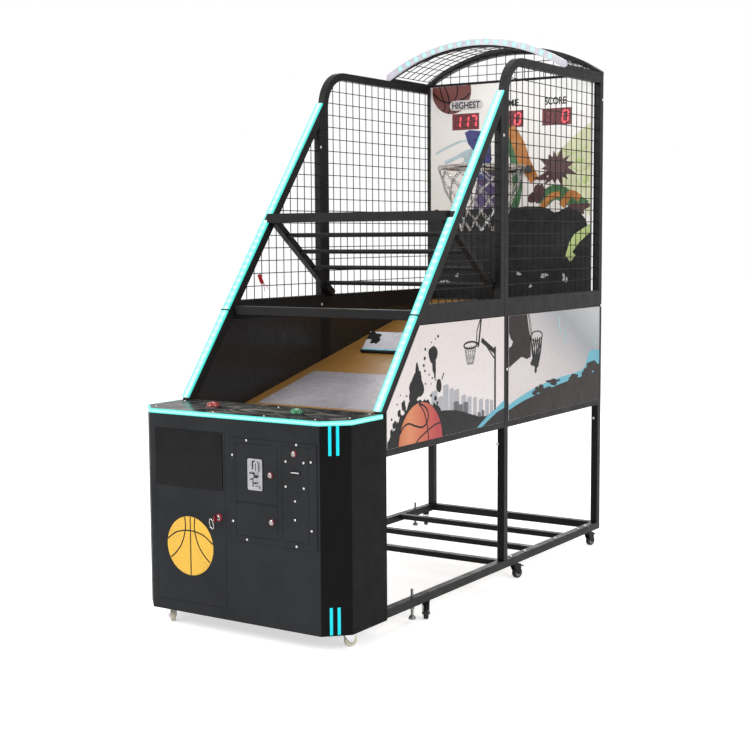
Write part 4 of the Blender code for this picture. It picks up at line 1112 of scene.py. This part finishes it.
rear_prints = (
    ("drips", 1, printed("print_teal", (0.24, 0.5, 0.54), 0.25, scale=14.0),
     [patch for run in ((668, 1176, 1110, 12), (684, 1120, 1090, 8), (729, 1130, 1050, 12),
                        (748, 1090, 1040, 7), (1070, 1080, 1000, 10), (1030, 1000, 940, 12),
                        (1005, 975, 945, 14), (760, 1160, 1120, 8))
      for patch in drip(*run)]),
    ("rear_band", 2, BLUE_BAND, [mm(164.5, 776, 164.5, 808) + band_top + mm(1128.5, 830)]),
    ("rear_ground", 3, BROWN_INK,
     [[(REAR_Y, PANEL_LOW), (REAR_Y, 0.784)] + ground_top + [(REAR_END_Y, PANEL_LOW)]]),
    ("rear_torn", 4, BROWN_INK, blots((500, 842, 60, 22, 41, 0.6), (610, 872, 70, 12, 42, 0.6),
                                      (430, 842, 26, 20, 43, 0.5), (1060, 905, 85, 30, 44, 0.35),
                                      (985, 885, 50, 24, 45, 0.4), (830, 872, 60, 14, 46, 0.5))),
    ("rear_board", 1, printed("print_brown_board", (0.017, 0.011, 0.0098), 0.3, scale=5.0, shine=0.12),
     [mm(164.5, 1200.5, 340, 1200.5, 352, 1150, 377, 1083, 378, 1006, 340, 998, 287, 1012, 255, 1002,
         164.5, 972)]),
    ("rear_slit", 2, PALE, [mm(164.5, 1126, 182, 1098, 203, 1086, 190, 1068, 164.5, 1060)]),
    ("board_edge", 2, INK, strip(mm(352, 1200, 366, 1150, 386, 1090), 0.006)
     + strip(mm(362, 1200, 378, 1150, 396, 1100), 0.003)),
    ("rear_net", 5, INK, net_lines(0.433, 1.09, 0.055, 0.13, 0.018, 0.0045)
     + blots((418, 985, 30, 26, 21, 0.5), (430, 952, 14, 20, 22, 0.5))
     + [blot(y, z, 0.009, 0.01, 30 + k, 0.4, 12) for k, (y, z) in enumerate(mm(
         395, 1030, 412, 1012, 450, 1034, 462, 1006, 404, 972, 446, 966, 470, 1045))]),
    ("rear_rim", 6, INK, strip(circle(0.433, 1.097, 0.06, 0.022, 30), 0.005, True)),
)
for side, sign in (("left", -1), ("right", 1)):
    paint(side_ground(f"{side}_front_ground", True), f"{side}_front_art_panel")
    paint(side_ground(f"{side}_rear_ground", False), f"{side}_rear_art_panel")
    for prints, window in ((front_prints, FRONT_SKIN), (rear_prints, REAR_SKIN)):
        for name, level, material, outlines in prints:
            decal(f"{side}_{name}", "frame", "X", sign * PRINT_X, sign * (0.4998 + 0.00025 * level),
                  outlines, material, window=window)

# ---- backboard ----------------------------------------------------------------------------
BOARD_FACE = 1.1062    # in front of this y the backboard shows its print


def board_ground():
    """Pale print on the front of the board, lighter and whiter at the upper right, a painted glare; the
    back is dark.
    """
    g = Graph("backboard_print", Specular_IOR_Level=0.4)
    front = g.math("LESS_THAN", g.axis("Y"), BOARD_FACE)
    # across lightens the upper right: a painted glare on the glossy board
    across = g.add(g.range(g.axis("X"), -0.46, 0.46, 0.0, 0.55), g.range(g.axis("Z"), 1.7, 2.33, 0.0, 0.45))
    tone = g.ramp(g.add(across, g.times(g.noise(3.0, 5.0), 0.2)), (0.25, (0.8, 0.75, 0.71)),
                  (0.7, (0.78, 0.75, 0.72)), (1.0, (0.84, 0.83, 0.82)))
    g.set("Base Color", g.mix(front, BEHIND, tone))
    g.rough(24.0, 4.0, 0.16, 0.28)
    g.bump(g.noise(90.0, 2.0), 0.04, 0.0004)
    return g.made


paint(board_ground(), "backboard")
BOARD_WINDOW = mm(-460, 1224, 460, 1224, 460, 2330, -460, 2330)
RED_BALL = pebbled("print_red_brown", (0.135, 0.02, 0.014), (0.05, 0.01, 0.01), 0.05)
PURPLE_BLUE = printed("print_blue", (0.03, 0.032, 0.15), 0.35, scale=16.0)
PURPLE = printed("print_purple", (0.075, 0.045, 0.13), 0.35, scale=16.0)
ORANGE = printed("print_orange", (0.4, 0.15, 0.028), 0.35, scale=18.0)
GREEN = printed("print_green", (0.042, 0.125, 0.045), 0.45, scale=18.0)
RED_BROWN = printed("print_chestnut", (0.06, 0.02, 0.02), 0.35, scale=18.0)
LIME = printed("print_lime", (0.42, 0.52, 0.2), 0.3, scale=14.0)
PALE_LIME = printed("print_pale_lime", (0.58, 0.6, 0.38), 0.25, scale=8.0)
BOARD_DARK = printed("print_charcoal", (0.015, 0.015, 0.0155), 0.55, scale=7.0, shine=0.2)
PALE_CYAN = printed("print_pale_cyan", (0.42, 0.52, 0.55), 0.25, scale=12.0)


def star(cu, cv, inner, outer, spikes, seed):
    """An uneven burst with pointed rays."""
    dice = random.Random(seed)
    made = []
    for i in range(spikes * 2):
        r = (outer * dice.uniform(0.75, 1.15)) if i % 2 else inner * dice.uniform(0.9, 1.1)
        a = TAU * (i + dice.uniform(-0.3, 0.3)) / (spikes * 2)
        made.append((cu + r * math.cos(a), cv + r * math.sin(a)))
    return made


def board_print(name, level, material, outlines):
    decal(f"board_{name}", "frame", "Y", BOARD_Y + 0.0006, BOARD_Y - 0.0003 * level, outlines, material,
          BOARD_WINDOW)


torn_top = ragged(mm(-460, 1688, -348, 1676, -200, 1690, -50, 1700, 60, 1690, 190, 1700, 254, 1662,
                     330, 1690, 425, 1650, 460, 1560), 0.03, 0.012, 58)
for name, level, material, outlines in (
        ("ball", 1, RED_BALL, [circle(-0.333, 2.303, 0.116, steps=60)]),
        ("ball_seams", 2, INK, stroke(0.008, -445, 2300, -400, 2262, -335, 2245, -262, 2262, -222, 2290)
         + stroke(0.007, -375, 2330, -352, 2275, -345, 2215, -355, 2190)
         + stroke(0.006, -405, 2330, -395, 2290, -372, 2235, -385, 2200)
         + stroke(0.006, -300, 2330, -300, 2290, -322, 2235, -315, 2195)),
        ("fan", 1, PALE_LIME, [mm(270, 1960, 360, 2040, 460, 2110, 460, 1640, 410, 1700, 330, 1720)]),
        ("fan_lines", 2, LIME, stroke(0.006, 300, 1975, 370, 1960, 440, 1990)
         + stroke(0.005, 345, 1900, 400, 1870, 455, 1900) + stroke(0.006, 375, 1830, 415, 1790, 455, 1800)
         + blots((400, 1925, 20, 14, 51, 0.4), (430, 1830, 16, 20, 52, 0.4))),
        ("cyan_strokes", 1, PALE_CYAN, stroke(0.012, -430, 1985, -350, 2020, -270, 2045, -205, 2040)
         + stroke(0.02, -375, 1935, -310, 1960, -250, 1985, -200, 2000)
         + stroke(0.01, -350, 1910, -280, 1925, -220, 1965) + blots((-240, 1965, 45, 28, 53, 0.4))),
        ("blue", 3, PURPLE_BLUE,
         [mm(-255, 2088, -225, 2100, -160, 2092, -150, 2020, -115, 1960, -105, 1880, -160, 1880,
             -200, 1990, -235, 2030)] + blots((-150, 1950, 52, 90, 54, 0.2))),
        ("purple", 2, PURPLE, [mm(-170, 1900, -70, 1905, -45, 1800, -60, 1690, -205, 1690, -190, 1790)]),
        ("orange", 3, ORANGE, stroke(lambda t: 0.05 + 0.02 * math.sin(math.pi * t),
                                     10, 2100, 55, 2020, 90, 1930, 150, 1830)),
        ("green", 2, GREEN, stroke(0.052, -18, 2100, 20, 2000, 45, 1900, 50, 1780, 30, 1690)
         + stroke(0.075, 180, 1715, 260, 1770, 340, 1740, 430, 1690)),
        ("stripes", 3, ORANGE, stroke(0.03, 190, 1690, 235, 1745, 290, 1760)
         + stroke(0.036, 300, 1700, 350, 1760, 400, 1735)),
        ("chestnut", 4, RED_BROWN, [star(0.27, 1.89, 0.058, 0.106, 13, 56)]
         + blots((165, 1760, 38, 50, 57, 0.4), (395, 1690, 42, 30, 59, 0.5), (190, 1842, 30, 16, 60, 0.5))),
        ("dark_field", 5, BOARD_DARK, [mm(-460, 1224, -460, 1688) + torn_top + mm(460, 1224)]),
        ("lime_leaf", 6, LIME,
         [mm(320, 1440, 345, 1520, 372, 1560, 455, 1610, 458, 1570, 400, 1520, 360, 1470),
          mm(330, 1450, 352, 1478, 380, 1455, 350, 1420)]),
        ("grey_marks", 6, GREY, blots((205, 1352, 20, 11, 62, 0.5), (322, 1338, 13, 20, 63, 0.5),
                                      (-370, 1312, 30, 10, 64, 0.5), (62, 1360, 12, 9, 65, 0.5),
                                      (130, 1298, 8, 8, 66, 0.4), (-300, 1350, 9, 12, 67, 0.4)))):
    board_print(name, level, material, outlines)

stop = Piece()
stop.box((-0.46, 1.1051, 1.199), (0.46, 1.112, 1.2228))
stop.done("ramp_rear_stop", "frame", FRAME, bevel=0.0006)

# ---- displays -----------------------------------------------------------------------------
DISPLAY_FACE = 1.1075    # in front of this y the displays glow


def glowing(name, colour, base, strength):
    """Lit plastic behind the board's windows; whatever lies behind the board is black."""
    g = Graph(name, Roughness=0.35, Specular_IOR_Level=0.3)
    grain = g.noise(160.0, 3.0)
    shown = g.math("LESS_THAN", g.axis("Y"), DISPLAY_FACE)
    g.set("Base Color", g.mix(shown, BEHIND, g.tone(grain, base, 0.8, 1.2)))
    g.set("Emission Color", g.tone(grain, colour, 0.9, 1.0))
    g.set("Emission Strength", g.times(shown, strength))
    g.bump(grain, 0.04, 0.0002)
    return g.made


# the window between the digits gets a dim red painted glow, with no lamp behind it
paint(glowing("display_window", (0.105, 0.01, 0.014), (0.06, 0.006, 0.008), 0.9), "score_display")
SEGMENT_ON = glowing("segment_on", (1.0, 0.085, 0.12), (0.3, 0.02, 0.03), 1.25)
# unlit bars get a dim painted glow, though no lamp lights them
SEGMENT_OFF = glowing("segment_off", (0.055, 0.006, 0.008), (0.03, 0.004, 0.005), 0.6)
# a digit's half width and half height, half a bar's width, and the gap at a bar's ends
W, H, T, GAP = 0.015, 0.028, 0.0041, 0.0016


def segment(name):
    """Outline of one bar of a seven-bar digit, in the digit's own (u, v)."""
    level = {"a": H, "g": 0.0, "d": -H}
    if name in level:
        a, b, v = -W + GAP, W - GAP, level[name]
        return [(a, v), (a + T, v + T), (b - T, v + T), (b, v), (b - T, v - T), (a + T, v - T)]
    u = W if name in "bc" else -W
    a, b = (GAP, H - GAP) if name in "bf" else (-H + GAP, -GAP)
    return [(u, a), (u + T, a + T), (u + T, b - T), (u, b), (u - T, b - T), (u - T, a + T)]


DIGITS = {"0": "abcdef", "1": "bc", "7": "abc", " ": ""}
for name, centre, shown in (("highest", -0.25, "117"), ("time", 0.005, "  0"), ("score", 0.27, "  0")):
    for way, material, level in ((True, SEGMENT_ON, 1.1054), (False, SEGMENT_OFF, 1.1057)):
        bars = []
        for i, digit in enumerate(shown):
            cu = centre + (i - 1) * 0.047
            for bar in "abcdefg":
                if (bar in DIGITS[digit]) == way:
                    bars.append([(cu + u + 0.1 * v, 2.144 + v) for u, v in segment(bar)])
        decal(f"{name}_{'lit' if way else 'unlit'}_bars", "frame", "Y", 1.1063, level, bars, material)


def label(name, words, low, high):
    """Words lying on the front of the backboard."""
    curve = bpy.data.curves.new(name, "FONT")
    curve.body, curve.extrude, curve.offset = words, 0.01, 0.02
    holder = bpy.data.objects.new(name + "_type", curve)
    scene.collection.objects.link(holder)
    mesh = bpy.data.meshes.new_from_object(holder.evaluated_get(bpy.context.evaluated_depsgraph_get()))
    bpy.data.objects.remove(holder)
    spots = [v.co.copy() for v in mesh.vertices]
    left, right = min(s.x for s in spots), max(s.x for s in spots)
    foot, top = min(s.y for s in spots), max(s.y for s in spots)
    for v, s in zip(mesh.vertices, spots):
        v.co = (low[0] + (s.x - left) / (right - left) * (high[0] - low[0]),
                BOARD_Y + 0.0004 - (0.0021 if s.z > 0 else 0),
                low[1] + (s.y - foot) / (top - foot) * (high[1] - low[1]))
    mesh.materials.clear()
    mesh.materials.append(INK)
    made = bpy.data.objects.new(name, mesh)
    scene.collection.objects.link(made)
    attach(made, "frame")


board_print("word_halo", 4, PALE, [smooth(mm(-336, 2208, -333, 2250, -250, 2254, -160, 2251, -158, 2206,
                                             -250, 2203), 4, True)])
label("word_highest", "HIGHEST", (-0.329, 2.21), (-0.165, 2.246))
label("word_time", "TIME", (-0.05, 2.207), (0.058, 2.242))
label("word_score", "SCORE", (0.205, 2.204), (0.322, 2.24))

# ---- ramp sticker and gate print ----------------------------------------------------------
def on_ramp(u, v, w):
    """u along X, v along Y, w above the sloping ramp."""
    return (u, v, 0.828 + 0.2447 * (v + 0.492) + w)


decal("ramp_sticker", "frame", on_ramp, -0.0003, 0.0004, [mm(-400, -482, 400, -482, 400, -54, -400, -54)],
      printed("sticker_grey", (0.33, 0.31, 0.33), 0.12, 0.24))
LIFT = Vector((math.cos(math.radians(47)), math.sin(math.radians(47))))


def on_gate(u, v, w):
    """u along X, v up the gate from its axis, w out of its front face."""
    p = Vector((0.222, 1.0112)) + LIFT * v + Vector((-LIFT.y, LIFT.x)) * (0.005 + w)
    return (u, p.x, p.y)


GATE_FACE = mm(-318.5, 0.5, 318.5, 0.5, 318.5, 116.5, -318.5, 116.5)
for name, low, high, material, outlines, window in (
        ("gate_sheet", -0.0003, 0.0003, printed("gate_white", (0.5, 0.49, 0.53), 0.08),
         [mm(-318.5, 6, 318.5, 6, 318.5, 116.5, -318.5, 116.5)], None),
        ("gate_edge", 0.0, 0.0005, printed("gate_cyan", (0.22, 0.52, 0.62), 0.15),
         [mm(-318.5, 6, 318.5, 6, 318.5, 20, -318.5, 13)], None),
        ("gate_splash", 0.0, 0.0007, INK,
         blots((-292, 88, 38, 34, 71, 0.5), (-262, 60, 20, 20, 72, 0.5), (285, 90, 34, 26, 75, 0.5)),
         GATE_FACE),
        ("gate_ring", 0.0, 0.0009, GREY,
         [patch for u, v in mm(-164, 100, 190, 95)
          for patch in strip(circle(u, v, 0.02, 0.015, 24), 0.0035, True)], GATE_FACE)):
    decal(name, "ball_gate", on_gate, low, high, outlines, material, window)

console_screws = Piece()
for x, y in mm(-435, -1100, -110, -1135, 140, -1135, 372, -1125, 455, -1020, -455, -900, 20, -885, 455,
               -885):
    screw(console_screws, (x, y, 0.878), (0, 0, 1), 0.0045, 0.002)
console_screws.done("console_screws", "frame", [ZINC, RECESS_SHADE])
